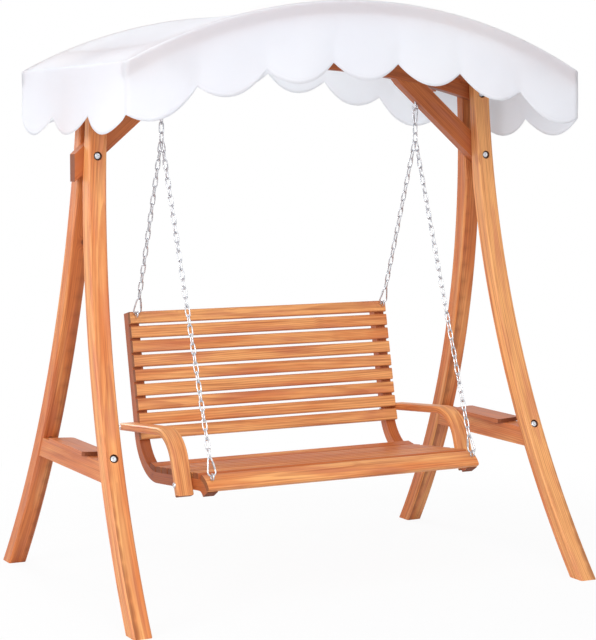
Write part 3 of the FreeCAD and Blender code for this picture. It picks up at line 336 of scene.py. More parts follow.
class Recipe:
    """Node tree of one material or of the world."""

    def __init__(self, holder: bpy.types.Material | bpy.types.World) -> None:
        """Start an empty tree.

        Args:
            holder: the material or world that holds it.
        """
        self.holder = holder
        holder.use_nodes = True
        self.tree = holder.node_tree
        self.tree.nodes.clear()

    def node(
        self,
        kind: str,
        settings: dict[str, object] | None = None,
        inputs: dict[str | int, object] | None = None,
    ) -> bpy.types.Node:
        """Add a node.

        Args:
            kind: the node's type.
            settings: its properties, set before its sockets.
            inputs: values or links of its sockets, by name or number.

        Returns:
            The node.
        """
        node = self.tree.nodes.new(kind)
        for key, value in (settings or {}).items():
            setattr(node, key, value)
        for key, value in (inputs or {}).items():
            if isinstance(value, Wire):
                self.tree.links.new(value.socket, node.inputs[key])
            else:
                node.inputs[key].default_value = value
        return node

    def add(
        self,
        kind: str,
        settings: dict[str, object] | None = None,
        inputs: dict[str | int, object] | None = None,
        output: str | int = 0,
    ) -> Wire:
        """Add a node and take one of its outputs.

        Args:
            kind: the node's type.
            settings: its properties.
            inputs: values or links of its sockets.
            output: the output that is wanted.

        Returns:
            That output.
        """
        return Wire(self, self.node(kind, settings, inputs).outputs[output])

    def point(self) -> Wire:
        """Object coordinates of a point, as a vector."""
        return self.add("ShaderNodeTexCoord", output="Object")

    def normal(self) -> Wire:
        """Direction that the surface faces in the object's own axes, as a vector."""
        return self.add("ShaderNodeTexCoord", output="Normal")

    def split(self, vector: Wire) -> tuple[Wire, Wire, Wire]:
        """The three values of a vector."""
        outputs = self.node("ShaderNodeSeparateXYZ", inputs={0: vector}).outputs
        return Wire(self, outputs[0]), Wire(self, outputs[1]), Wire(self, outputs[2])

    def vector(self, x: Wire | float, y: Wire | float, z: Wire | float) -> Wire:
        """Vector of three values."""
        return self.add("ShaderNodeCombineXYZ", inputs={0: x, 1: y, 2: z})

    def combine(self, operation: str, *vectors: object, output: str = "Vector") -> Wire:
        """Add a Vector Math node.

        Args:
            operation: the node's operation.
            vectors: its inputs, in order.
            output: Vector, or Value where the result is a number.

        Returns:
            The node's result.
        """
        return self.add("ShaderNodeVectorMath", {"operation": operation}, dict(enumerate(vectors)), output)

    def dot(self, vector: Wire, way: Vector) -> Wire:
        """Length of a vector along a unit direction."""
        return self.combine("DOT_PRODUCT", vector, way, output="Value")

    def noise(self, point: Wire, detail: float = 2.0, roughness: float = 0.5) -> Wire:
        """Noise of unit scale at a point, about 0.5 on average."""
        inputs = {"Vector": point, "Scale": 1.0, "Detail": detail, "Roughness": roughness}
        return self.add("ShaderNodeTexNoise", inputs=inputs)

    def ramp(self, value: Wire, low: float, high: float) -> Wire:
        """Smooth step from 0 at low to 1 at high."""
        inputs = {"Value": value, "From Min": low, "From Max": high}
        return self.add("ShaderNodeMapRange", {"interpolation_type": "SMOOTHSTEP"}, inputs)

    def share(self, value: Wire, tint: "Tint") -> Wire:
        """Share of a colour that a value gives."""
        return self.ramp(value, tint.begin, tint.full) * tint.share

    def blend(self, share: Wire | float, first: object, second: object, way: str = "MIX") -> Wire:
        """Colour between two colours, mixed in a way that the Mix node names."""
        inputs = {0: share, 6: first, 7: second}
        return self.add("ShaderNodeMix", {"data_type": "RGBA", "blend_type": way}, inputs, 2)

    def bump(self, height: Wire, depth: float, strength: float) -> Wire:
        """Normal of a surface with fine relief, its depth in metres."""
        return self.add("ShaderNodeBump", inputs={"Height": height, "Distance": depth, "Strength": strength})

    def surface(self, inputs: dict[str | int, object]) -> Wire:
        """Principled surface of given socket values and links."""
        return self.add("ShaderNodeBsdfPrincipled", inputs=inputs)

    def close(self, surface: Wire) -> bpy.types.Material | bpy.types.World:
        """Send a surface to the tree's output.

        Args:
            surface: the finished shader.

        Returns:
            What holds the tree.
        """
        is_world = isinstance(self.holder, bpy.types.World)
        kind = "ShaderNodeOutputWorld" if is_world else "ShaderNodeOutputMaterial"
        self.node(kind, inputs={"Surface": surface})
        return self.holder


class Tint(NamedTuple):
    """Levels of a value at which a colour begins and is full, and the colour's share there."""

    begin: float
    full: float
    share: float


class Fibres(NamedTuple):
    """Distances across, through and along the fibres in metres, and the share that shows end grain."""

    across: Wire
    through: Wire
    along: Wire
    end: Wire


class Lay(Enum):
    """Direction of the fibres in straight timber."""

    ALONG_X = (1.0, 0.0, 0.0)
    ALONG_Y = (0.0, 1.0, 0.0)


@dataclass(frozen=True)
class StraightGrain:
    """Fibres along one direction, measured from a piece's middle."""

    centre: Vector
    way: Vector
    broad: Vector

    def fibres(self, recipe: Recipe) -> Fibres:
        """Work out the fibres at a point.

        Args:
            recipe: the material to add nodes to.

        Returns:
            The fibres.
        """
        point = recipe.combine("SUBTRACT", recipe.point(), self.centre)
        across = recipe.dot(point, self.way.cross(self.broad))
        end = abs(recipe.dot(recipe.normal(), self.way))
        return Fibres(across, recipe.dot(point, self.broad), recipe.dot(point, self.way), end)


@dataclass(frozen=True)
class BowedGrain:
    """Fibres that follow a bowed leg."""

    legs: LegLines
    side: int
    end: int

    def fibres(self, recipe: Recipe) -> Fibres:
        """Work out the fibres at a point.

        Args:
            recipe: the material to add nodes to.

        Returns:
            The fibres.
        """
        x, y, z = recipe.split(recipe.point())
        _, face_y, face_z = recipe.split(recipe.normal())
        across = x * self.side + z * math.tan(self.legs.lean) - self.legs.foot_x
        away = y - self.end * self.legs.centre_y
        up = z - self.legs.centre_z
        far = (away * away + up * up).root()
        end = abs(face_z * away - face_y * up) / far
        return Fibres(across, far - self.legs.hollow_radius, z, end)


@dataclass(frozen=True)
class ArchedGrain:
    """Fibres round a low centre in the X-Z plane."""

    middle_y: float
    centre_z: float
    radius: float

    def fibres(self, recipe: Recipe) -> Fibres:
        """Work out the fibres at a point.

        Args:
            recipe: the material to add nodes to.

        Returns:
            The fibres.
        """
        x, y, z = recipe.split(recipe.point())
        face_x, _, face_z = recipe.split(recipe.normal())
        up = z - self.centre_z
        far = (x * x + up * up).root()
        end = abs(face_z * x - face_x * up) / far
        return Fibres(y - self.middle_y, far - self.radius, x, end)


@dataclass(frozen=True)
class BentGrain:
    """Fibres that follow a strip round one bend in the Y-Z plane, between two straight runs."""

    centre: Vector
    inner_radius: float
    first: Vector
    second: Vector
    end_gain: float = 1.0

    def fibres(self, recipe: Recipe) -> Fibres:
        """Work out the fibres at a point.

        Args:
            recipe: the material to add nodes to.

        Returns:
            The fibres.
        """
        point = recipe.combine("SUBTRACT", recipe.point(), self.centre)
        x, y, z = recipe.split(point)
        on_first = recipe.dot(point, self.first)
        on_second = recipe.dot(point, self.second)
        past_first = on_first.at_least(0.0)
        past_second = on_second.at_least(0.0)
        left_y = y - past_first * self.first.y - past_second * self.second.y
        left_z = z - past_first * self.first.z - past_second * self.second.z
        far = (left_y * left_y + left_z * left_z).root()
        _, face_y, face_z = recipe.split(recipe.normal())
        end = abs(face_z * left_y - face_y * left_z) / far
        return Fibres(x, far - self.inner_radius, on_first - on_second, end * self.end_gain)


Grain = StraightGrain | BowedGrain | ArchedGrain | BentGrain


@dataclass(frozen=True)
class Cut:
    """How a piece was cut: its grain, glued layers' depth, half width between arrises and bolt sinkings."""

    grain: Grain
    depth: float = 0.0
    arris: float = 0.0
    sinkings: tuple[Axis, ...] = ()


class Figure(NamedTuple):
    """Noise drawn out along the fibres: cycles a metre across and along them, detail and roughness."""

    across: float
    along: float
    detail: float = 3.0
    roughness: float = 0.6


@dataclass(frozen=True)
class Larch:
    """Larch with a honey stain and a satin varnish."""

    # Colours
    pale: Colour = (238, 172, 108)
    honey: Colour = (214, 126, 68)
    blush: Colour = (202, 122, 88)
    late: Colour = (158, 76, 38)
    knot: Colour = (112, 58, 32)
    end_grain: Colour = (104, 54, 32)
    # Painted shade inside the bolt sinkings, where the heads sit deep, with the darker bare wood of the bore
    hollow: Colour = (84, 48, 32)
    # Painted shade, multiplied into pieces with a negative tone to darken those in the canopy's shade
    painted_shade: Colour = (160, 122, 102)
    # Log and year rings
    log_length: float = 60.0
    heart_aside: float = 0.06
    heart_depth: Span = (0.03, 0.07)
    tilt: Span = (0.03, 0.02)
    ring_width: float = 0.0058
    ring_sway: float = 0.03
    ring_waver: float = 0.012
    late_levels: Span = (0.2, 0.92)
    late_share: float = 0.34
    # Glued layers
    layers: int = 3
    layer_shift: float = 0.08
    layer_tone: float = 0.35
    glue_margin: float = 0.001
    glue_edges: Span = (0.0016, 0.0004)
    glue_share: float = 0.55
    # Knots
    knot_cell: float = 0.085
    knot_spread: float = 0.9
    knot_level: float = 0.955
    knot_tint: Tint = Tint(0.15, 0.07, 0.85)
    swirl_tint: Tint = Tint(0.42, 0.05, 0.35)
    swirl_push: float = 0.012
    # Figure along the fibres
    wander: Figure = Figure(9.0, 1.4, 1.0, 0.5)
    fibre: Figure = Figure(420.0, 9.0)
    fibre_tint: Tint = Tint(0.5, 0.85, 0.3)
    streak: Figure = Figure(110.0, 3.0)
    streak_tint: Tint = Tint(0.45, 0.75, 0.6)
    cloud: Figure = Figure(26.0, 2.6)
    cloud_levels: Span = (0.3, 0.7)
    flush: Figure = Figure(30.0, 4.0, 2.0, 0.5)
    flush_tint: Tint = Tint(0.48, 0.72, 0.6)
    # Ends, and painted shade along the arrises and in the bolt sinkings
    end_tint: Tint = Tint(0.45, 0.75, 0.8)
    arris_width: float = 0.006
    arris_shade_share: float = 0.4
    sinking_radius: float = 0.0146
    sinking_rim: float = 0.0006
    sinking_shade_share: float = 0.9
    # Varnished surface
    roughness: float = 0.4
    fibre_roughness: float = 0.16
    late_gloss: float = 0.06
    end_roughness: float = 0.3
    fibre_relief: float = 0.6
    late_relief: float = 0.4
    knot_relief: float = -0.3
    relief_depth: float = 0.0006
    relief_strength: float = 0.35
    varnish: float = 0.08
    varnish_roughness: float = 0.28
    shine: float = 0.3

    @staticmethod
    def drawn_out(recipe: Recipe, place: Wire, figure: Figure, start: Place) -> Wire:
        """Noise drawn out along the fibres.

        Args:
            recipe: the material to add nodes to.
            place: distances across, through and along the fibres.
            figure: the kind of noise.
            start: where in the noise it begins.

        Returns:
            The noise.
        """
        pitch = (figure.across, figure.across, figure.along)
        point = recipe.combine("MULTIPLY_ADD", place, pitch, start)
        return recipe.noise(point, figure.detail, figure.roughness)

    def sinking_shade_mask(self, recipe: Recipe, sinkings: tuple[Axis, ...]) -> Wire:
        """Share of a point that lies in the sinkings round bolt heads, where painted shade goes.

        Args:
            recipe: the material to add nodes to.
            sinkings: a point and the direction of each axis.

        Returns:
            One inside the sinkings and zero outside.
        """
        point = recipe.point()
        shares = []
        for start, way in sinkings:
            aside = recipe.combine("CROSS_PRODUCT", recipe.combine("SUBTRACT", point, start), way)
            away = recipe.combine("LENGTH", aside, output="Value")
            shares.append(recipe.ramp(away, self.sinking_radius + self.sinking_rim, self.sinking_radius))
        return sum(shares[1:], shares[0])

    def glued(self, recipe: Recipe, through: Wire, depth: float, shift: float) -> tuple[Wire, Wire]:
        """Layers of laminated timber.

        Args:
            recipe: the material to add nodes to.
            through: distance through the layers.
            depth: depth of all layers together.
            shift: picks the layers' values.

        Returns:
            A value of each layer's own from 0 to 1, and the share that shows a glue line.
        """
        layer = (depth + 2 * self.glue_margin) / self.layers
        count = (through + self.glue_margin) / layer
        own = recipe.add("ShaderNodeTexWhiteNoise", {"noise_dimensions": "1D"}, {"W": count.floor() + shift})
        rim = abs(count.fract() - 0.5) * (2 * layer)
        return own, recipe.ramp(rim, layer - self.glue_edges[0], layer - self.glue_edges[1])

    def knots(self, recipe: Recipe, place: Wire) -> tuple[Wire, Wire]:
        """Knots, one in a few cells of the log.

        Args:
            recipe: the material to add nodes to.
            place: distances across, through and along the fibres.

        Returns:
            The share of a knot's core, and of the swirl round it.
        """
        inputs = {"Vector": place, "Scale": 1 / self.knot_cell, "Randomness": self.knot_spread}
        cell = recipe.node("ShaderNodeTexVoronoi", inputs=inputs).outputs
        away = Wire(recipe, cell["Distance"])
        picked = recipe.add("ShaderNodeSeparateColor", inputs={0: Wire(recipe, cell["Color"])})
        has_knot = picked.above(self.knot_level)
        core = recipe.ramp(away, self.knot_tint.begin, self.knot_tint.full) * has_knot
        return core, recipe.ramp(away, self.swirl_tint.begin, self.swirl_tint.full) * has_knot

    def late_wood(
        self, recipe: Recipe, grain: Fibres, wander: Wire, swirl: Wire, draw: random.Random
    ) -> Wire:
        """Dark late wood of the year rings.

        Args:
            recipe: the material to add nodes to.
            grain: the fibres.
            wander: slow noise that bends the rings.
            swirl: share of the swirl round a knot.
            draw: picks where the log's heart lies.

        Returns:
            One at the end of each ring, and less before it.
        """
        heart_x = draw.uniform(-self.heart_aside, self.heart_aside)
        heart_y = draw.choice((-1, 1)) * draw.uniform(*self.heart_depth)
        tilt_x, tilt_y = [draw.uniform(-most, most) for most in self.tilt]
        x = grain.across - heart_x + grain.along * tilt_x + wander * self.ring_sway
        y = grain.through - heart_y + grain.along * tilt_y + swirl * self.swirl_push
        ring = (((x * x + y * y).root() + wander * self.ring_waver) / self.ring_width).fract()
        begin, full = self.late_levels
        return recipe.ramp(ring, begin, full) * (1 - recipe.ramp(ring, full, 1.0))

    def material(self, name: str, cut: Cut, seed: int, tone: float = 0.0) -> bpy.types.Material:
        """Make the finish of one piece.

        Args:
            name: the material's name.
            cut: the way the piece was cut.
            seed: picks where in the log the piece was cut.
            tone: a random tone plus painted light and shade by piece; darker below zero, paler above.

        Returns:
            The material.
        """
        draw = random.Random(seed)
        recipe = Recipe(bpy.data.materials.new(name))
        grain = cut.grain.fibres(recipe)
        shift = draw.uniform(0, self.log_length)
        extra: list[tuple[Wire, Colour]] = []
        own = 0.5
        if cut.depth:
            own, line = self.glued(recipe, grain.through, cut.depth, shift)
            extra.append((line * self.glue_share, self.knot))
            grain = grain._replace(across=grain.across + (own - 0.5) * self.layer_shift)
        # Painted shade along the arrises, where the gaps between slats fall into shade
        if cut.arris:
            edge = recipe.ramp(abs(grain.across), cut.arris - self.arris_width, cut.arris)
            extra.append((edge * self.arris_shade_share, self.late))
        start = (shift, 0.0, 0.0)
        place = recipe.vector(grain.across, grain.through, grain.along)
        knot, swirl = self.knots(recipe, recipe.combine("ADD", place, start))
        wander = self.drawn_out(recipe, place, self.wander, start) - 0.5
        late = self.late_wood(recipe, grain, wander, swirl, draw)
        fibre = self.drawn_out(recipe, place, self.fibre, start)
        streak = self.drawn_out(recipe, place, self.streak, start)
        cloud = self.drawn_out(recipe, place, self.cloud, start)
        flush = self.drawn_out(recipe, place, self.flush, (0.0, shift, 0.0))
        # A piece's tone moves it towards pale or honey: a random tone plus painted light and shade by piece
        warm = recipe.ramp(cloud + (own - 0.5) * self.layer_tone - tone, *self.cloud_levels)
        colour = recipe.blend(warm, light(self.pale), light(self.honey))
        for share, over in (
            (recipe.share(flush, self.flush_tint), self.blush),
            (recipe.share(streak, self.streak_tint), self.late),
            (late * self.late_share, self.late),
            (recipe.share(fibre, self.fibre_tint), self.late),
            (swirl * self.swirl_tint.share, self.late),
            (knot * self.knot_tint.share, self.knot),
            *extra,
        ):
            colour = recipe.blend(share, colour, light(over))
        # Painted shade: pieces with a negative tone are multiplied towards a shaded colour
        colour = recipe.blend(max(-tone, 0.0), colour, light(self.painted_shade), "MULTIPLY")
        colour = recipe.blend(recipe.share(grain.end, self.end_tint), colour, light(self.end_grain))
        # Painted shade in the bolt sinkings round the heads
        if cut.sinkings:
            sinking_shade_mask = self.sinking_shade_mask(recipe, cut.sinkings) * self.sinking_shade_share
            colour = recipe.blend(sinking_shade_mask, colour, light(self.hollow))
        rough = self.roughness + fibre * self.fibre_roughness - late * self.late_gloss
        relief = fibre * self.fibre_relief + late * self.late_relief + knot * self.knot_relief
        finish = {
            "Base Color": colour,
            "Roughness": rough + grain.end * self.end_roughness,
            "Normal": recipe.bump(relief, self.relief_depth, self.relief_strength),
            "Coat Weight": self.varnish,
            "Coat Roughness": self.varnish_roughness,
            "Specular IOR Level": self.shine,
        }
        return recipe.close(recipe.surface(finish))


@dataclass(frozen=True)
class Zinc:
    """Bright zinc plating on steel."""

    bright: Colour = (226, 228, 232)
    dull: Colour = (158, 162, 168)
    mottle_pitch: float = 160.0
    grain_pitch: float = 900.0
    dull_levels: Span = (0.35, 0.75)
    metal: float = 0.9
    roughness: float = 0.24
    dull_roughness: float = 0.16
    mottle_relief: float = 0.6
    grain_relief: float = 0.4
    relief_depth: float = 0.0002
    relief_strength: float = 0.25

    def material(self, name: str) -> bpy.types.Material:
        """Make the finish.

        Args:
            name: the material's name.

        Returns:
            The material.
        """
        recipe = Recipe(bpy.data.materials.new(name))
        point = recipe.point()
        mottle_place = recipe.combine("MULTIPLY", point, (self.mottle_pitch,) * 3)
        mottle = recipe.noise(mottle_place, detail=3.0, roughness=0.6)
        grain = recipe.noise(recipe.combine("MULTIPLY", point, (self.grain_pitch,) * 3))
        dull = recipe.ramp(mottle, *self.dull_levels)
        relief = mottle * self.mottle_relief + grain * self.grain_relief
        finish = {
            "Base Color": recipe.blend(dull, light(self.bright), light(self.dull)),
            "Metallic": self.metal,
            "Roughness": self.roughness + dull * self.dull_roughness,
            "Normal": recipe.bump(relief, self.relief_depth, self.relief_strength),
        }
        return recipe.close(recipe.surface(finish))


@dataclass(frozen=True)
class Cloth:
    """White woven awning cloth with sewn hems."""

    # Colours, and the share of light that passes
    white: Colour = (248, 248, 252)
    shade: Colour = (238, 238, 245)
    seam_shade: Colour = (206, 203, 214)
    thread: Colour = (214, 212, 222)
    through: Colour = (247, 251, 253)
    let_through: float = 0.58
    # Sewing
    stitch_length: float = 0.004
    stitch_levels: Span = (0.25, 0.4)
    stitch_edges: Span = (0.0005, 0.0012)
    stitch_share: float = 0.4
    hem_width: float = 0.016
    seam_width: float = 0.004
    seam_edges: Span = (0.0012, 0.0035)
    seam_share: float = 0.35
    # Weave, folds and patches of shade
    thread_pitch: float = 0.0011
    fold_pitch: Span = (5.0, 7.0)
    patch_pitch: float = 2.2
    patch_seed: float = 4.0
    patch_tint: Tint = Tint(0.3, 0.75, 0.7)
    # Surface
    weave_relief: float = 0.012
    stitch_relief: float = 0.06
    seam_relief: float = 0.08
    relief_depth: float = 0.008
    relief_strength: float = 0.5
    roughness: float = 0.82
    weave_gloss: float = 0.05
    sheen: float = 0.12
    sheen_roughness: float = 0.5
    shine: float = 0.25

    def material(self, name: str) -> bpy.types.Material:
        """Make the finish.

        Args:
            name: the material's name.

        Returns:
            The material.
        """
        recipe = Recipe(bpy.data.materials.new(name))
        across, down, _ = recipe.split(recipe.add("ShaderNodeUVMap", {"uv_map": "cut"}))
        hem = recipe.add("ShaderNodeAttribute", {"attribute_name": "from_hem"}, output="Fac")
        edge = recipe.add("ShaderNodeAttribute", {"attribute_name": "from_edge"}, output="Fac")
        turn = 2 * math.pi / self.thread_pitch
        weave = (across * turn).sine() * (down * turn).sine()
        fold_place = recipe.vector(across * self.fold_pitch[0], down * self.fold_pitch[1], 0.0)
        fold = recipe.noise(fold_place, detail=3.0, roughness=0.55)
        patch_place = recipe.vector(across * self.patch_pitch, down * self.patch_pitch, self.patch_seed)
        patch = recipe.noise(patch_place)
        rows = [
            1 - recipe.ramp(abs(distance - row), *self.stitch_edges)
            for distance, row in ((hem, self.hem_width), (edge, self.seam_width))
        ]
        dash = recipe.ramp((across / self.stitch_length).fract(), *self.stitch_levels)
        stitch = (rows[0] + rows[1]) * dash
        seam = 1 - recipe.ramp(abs(edge), *self.seam_edges)
        colour = recipe.blend(recipe.share(patch, self.patch_tint), light(self.white), light(self.shade))
        colour = recipe.blend(seam * self.seam_share, colour, light(self.seam_shade))
        colour = recipe.blend(stitch * self.stitch_share, colour, light(self.thread))
        height = fold + weave * self.weave_relief - stitch * self.stitch_relief - seam * self.seam_relief
        finish = {
            "Base Color": colour,
            "Roughness": self.roughness - weave * self.weave_gloss,
            "Normal": recipe.bump(height, self.relief_depth, self.relief_strength),
            "Sheen Weight": self.sheen,
            "Sheen Roughness": self.sheen_roughness,
            "Specular IOR Level": self.shine,
        }
        glow = recipe.add("ShaderNodeBsdfTranslucent", inputs={"Color": light(self.through)})
        mixed = {0: self.let_through, 1: recipe.surface(finish), 2: glow}
        return recipe.close(recipe.add("ShaderNodeMixShader", inputs=mixed))


def choose(obj: bpy.types.Object, test: Callable[[Vector], bool]) -> None:
    """Select the points of a mesh in edit mode by their place.

    Args:
        obj: the object that is edited.
        test: true for the places to select.
    """
    mesh = bmesh.from_edit_mesh(obj.data)
    for vertex in mesh.verts:
        vertex.select_set(test(vertex.co))
    mesh.select_flush(True)
    mesh.select_flush(False)
    bmesh.update_edit_mesh(obj.data)


def choose_faces(obj: bpy.types.Object, test: Callable[[Vector, Vector], bool]) -> None:
    """Select the faces of a mesh in edit mode by their middle and normal.

    Args:
        obj: the object that is edited.
        test: true for the faces to select.
    """
    bpy.ops.mesh.select_mode(type="FACE")
    mesh = bmesh.from_edit_mesh(obj.data)
    for face in mesh.faces:
        face.select_set(test(face.calc_center_median(), face.normal))
    bmesh.update_edit_mesh(obj.data)


def begin(add: Callable[..., object], **sizes: object) -> bpy.types.Object:
    """Add a primitive with nothing else selected, put its place in its mesh, and open it for editing.

    Args:
        add: the operator that adds it.
        sizes: the operator's settings.

    Returns:
        The new object, in edit mode.
    """
    bpy.ops.object.select_all(action="DESELECT")
    add(**sizes)
    bpy.ops.object.transform_apply(location=True, rotation=True, scale=True)
    bpy.ops.object.mode_set(mode="EDIT")
    bpy.ops.mesh.select_mode(type="VERT")
    return bpy.context.object


def end_edit(obj: bpy.types.Object, smooth_angle: float = 40.0) -> bpy.types.Object:
    """Close a mesh after editing: merge doubles, turn faces outwards and smooth it.

    Args:
        obj: the object in edit mode.
        smooth_angle: edges sharper than this stay sharp, in degrees.

    Returns:
        The same object.
    """
    bpy.ops.mesh.select_all(action="SELECT")
    bpy.ops.mesh.remove_doubles(threshold=1e-6)
    bpy.ops.mesh.normals_make_consistent(inside=False)
    bpy.ops.object.mode_set(mode="OBJECT")
    bpy.ops.object.shade_smooth_by_angle(angle=math.radians(smooth_angle))
    return obj


def join(name: str, pieces: list[bpy.types.Object]) -> bpy.types.Object:
    """Join pieces into one.

    Args:
        name: the joined piece's name.
        pieces: the objects to join.

    Returns:
        The joined piece.
    """
    bpy.ops.object.select_all(action="DESELECT")
    for piece in pieces:
        piece.select_set(True)
    bpy.context.view_layer.objects.active = pieces[0]
    if len(pieces) > 1:
        bpy.ops.object.join()
    pieces[0].name = name
    pieces[0].data.name = name
    return pieces[0]


def copies(pattern: bpy.types.Object, name: str, places: Iterable[Matrix]) -> bpy.types.Object:
    """Copy a pattern to several places as one piece, each copy with its own mesh.

    Args:
        pattern: the object to copy; it stays as it is.
        name: the piece's name.
        places: where the copies go.

    Returns:
        The joined piece.
    """
    made = []
    for place in places:
        mesh = pattern.data.copy()
        mesh.transform(place)
        copy = bpy.data.objects.new(name, mesh)
        bpy.context.collection.objects.link(copy)
        made.append(copy)
    return join(name, made)


def discard(*patterns: bpy.types.Object) -> None:
    """Remove patterns that have been copied."""
    for pattern in patterns:
        bpy.data.objects.remove(pattern)


def turned_to(origin: Vector, x_axis: Vector, z_axis: Vector) -> Matrix:
    """Matrix that puts a pattern's X and Z along two directions.

    Args:
        origin: where the pattern's origin goes.
        x_axis: direction of its X.
        z_axis: direction of its Z.

    Returns:
        The matrix.
    """
    z_unit = z_axis.normalized()
    x_unit = (x_axis - z_unit * x_axis.dot(z_unit)).normalized()
    y_unit = z_unit.cross(x_unit)
    return Matrix.Translation(origin) @ Matrix((x_unit, y_unit, z_unit)).transposed().to_4x4()


def dress(obj: bpy.types.Object, material: bpy.types.Material) -> None:
    """Give a whole object one material, in place of any others."""
    obj.data.materials.clear()
    obj.data.materials.append(material)


def settle(obj: bpy.types.Object, material: bpy.types.Material, body: str, slot: str, *nodes: str) -> None:
    """Dress a new piece, fix it to its body and hide the solids that it stands for.

    Args:
        obj: the piece.
        material: its finish.
        body: the body that it rides on.
        slot: the record's material slot; not used.
        nodes: the solids that it replaces.
    """
    dress(obj, material)
    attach(obj, body)
    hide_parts(*nodes)
    LOG.info("%s: %d faces, rides on %s", obj.name, len(obj.data.polygons), body)


@dataclass
class Timbers:
    """All that is sawn or laminated from larch."""

    nodes: dict[str, bpy.types.Object]
    larch: Larch
    bolts: "Bolts"
    legs: LegLines
    bench: BenchLines
    # Arches of the beam and the roof rails, and slope of the braces
    beam_centre_z: float = -0.879
    beam_radius: float = 2.680
    beam_depth: float = 0.057
    brace_slope: float = math.radians(40.5)
    roof_centre_z: float = 0.223
    roof_radius: float = 1.7756
    # Stain: gain of the end grain round the nose, and chance spread of tones; by part of a name, painted
    # light and shade: paler pieces that should catch more light, darker pieces where the canopy and frame
    # shade them
    nose_gain: float = 2.3
    tone_spread: float = 0.1
    painted_light_tones: dict[str, float] = field(
        default_factory=lambda: {
            "front_right": 0.2,
            "rear_right": -0.1,
            "rear_left": -0.15,
            "brace": -0.4,
            "beam": -0.5,
            "roof_": -0.5,
            "crossbar": -0.15,
            "tray": -0.25,
            "side_frame": -0.45,
            "back_slat": 0.15,
            "seat_slat": -0.1,
            "front_board": -0.1,
        }
    )
    seed: int = 11
    seed_step: int = 7

    def dress(self) -> None:
        """Give every timber piece its own cut of the log."""
        draw = random.Random(self.seed)
        for number, (name, cut) in enumerate((self.frame_cuts() | self.bench_cuts()).items()):
            tone = draw.uniform(-self.tone_spread, self.tone_spread)
            # Painted light and shade by piece, on top of the random tone
            tone += sum(shift for part, shift in self.painted_light_tones.items() if part in name)
            seed = self.seed + self.seed_step * number
            dress(self.nodes[name], self.larch.material(f"larch_{name}", cut, seed, tone))
            LOG.info("%s: larch, %s", name, type(cut.grain).__name__)

    @staticmethod
    def middle(name: str) -> Vector:
        """Middle of a piece."""
        low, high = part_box(name)
        return (Vector(low) + Vector(high)) / 2

    def straight(self, name: str, lay: Lay) -> Cut:
        """Solid bar, its fibres along one axis."""
        return Cut(StraightGrain(self.middle(name), Vector(lay.value), UP))

    def slat(self, name: str) -> Cut:
        """Solid slat, its fibres along X, with painted shade along its arrises.

        Args:
            name: the piece.

        Returns:
            The cut.
        """
        mesh = self.nodes[name].data
        middle, way = self.middle(name), Vector(Lay.ALONG_X.value)
        broad = max(mesh.polygons, key=lambda face: face.area).normal.copy()
        across = way.cross(broad)
        half = max(abs(across.dot(vertex.co - middle)) for vertex in mesh.vertices)
        return Cut(StraightGrain(middle, way, broad), arris=half)

    def frame_cuts(self) -> dict[str, Cut]:
        """Choose how the standing frame's pieces are cut.

        Returns:
            The cuts, by name.
        """
        cuts: dict[str, Cut] = {}
        for side_name, side in SIDES.items():
            for end_name, end in ENDS.items():
                leg = BowedGrain(self.legs, side, end)
                sinkings = self.bolts.sinkings(side, end)
                cuts[f"{end_name}_{side_name}_leg"] = Cut(leg, self.legs.depth, sinkings=sinkings)
            rise, run = -side * math.sin(self.brace_slope), math.cos(self.brace_slope)
            way, broad = Vector((run, 0.0, rise)), Vector((-rise, 0.0, run))
            cuts[f"{side_name}_brace"] = Cut(StraightGrain(self.middle(f"{side_name}_brace"), way, broad))
            for name in ("crossbar", "tray", "roof_arm"):
                cuts[f"{side_name}_{name}"] = self.straight(f"{side_name}_{name}", Lay.ALONG_Y)
        cuts["top_beam"] = Cut(ArchedGrain(0.0, self.beam_centre_z, self.beam_radius), self.beam_depth)
        for name in (f"{end_name}_roof_rail" for end_name in ENDS):
            cuts[name] = Cut(ArchedGrain(self.middle(name).y, self.roof_centre_z, self.roof_radius))
        return cuts

    def bench_cuts(self) -> dict[str, Cut]:
        """Choose how the bench's pieces are cut.

        Returns:
            The cuts, by name.
        """
        bench = self.bench
        frame_runs = (bench.up_back, bench.forward)
        frame_bend = bend_centre(Vector(bench.corner), *frame_runs, bench.bend_radius)
        arm_runs = (-bench.arm_forward, bench.arm_down)
        arm_bend = bend_centre(bench.arm_corner, *arm_runs, bench.arm_bend_radius)
        cuts: dict[str, Cut] = {}
        for side_name, side in SIDES.items():
            stile = frame_bend + ALONG_X * (side * (bench.half_width - bench.stile_width / 2))
            frame = BentGrain(stile, bench.bend_radius - bench.stile_depth, *frame_runs, self.nose_gain)
            cuts[f"{side_name}_side_frame"] = Cut(frame, bench.stile_depth)
            strip = arm_bend + ALONG_X * (side * (bench.half_width + bench.arm_width / 2))
            arm = BentGrain(strip, bench.arm_bend_radius - bench.arm_thickness, *arm_runs)
            cuts[f"{side_name}_arm"] = Cut(arm, bench.arm_thickness)
        for name in sorted(name for name in self.nodes if "_slat_" in name):
            cuts[name] = self.slat(name)
        cuts["front_board"] = self.straight("front_board", Lay.ALONG_X)
        return cuts


class Crossing(NamedTuple):
    """Crossing of the roof's grid on its rim, with its outward direction in plan."""

    column: int
    row: int
    out_x: int
    out_y: int


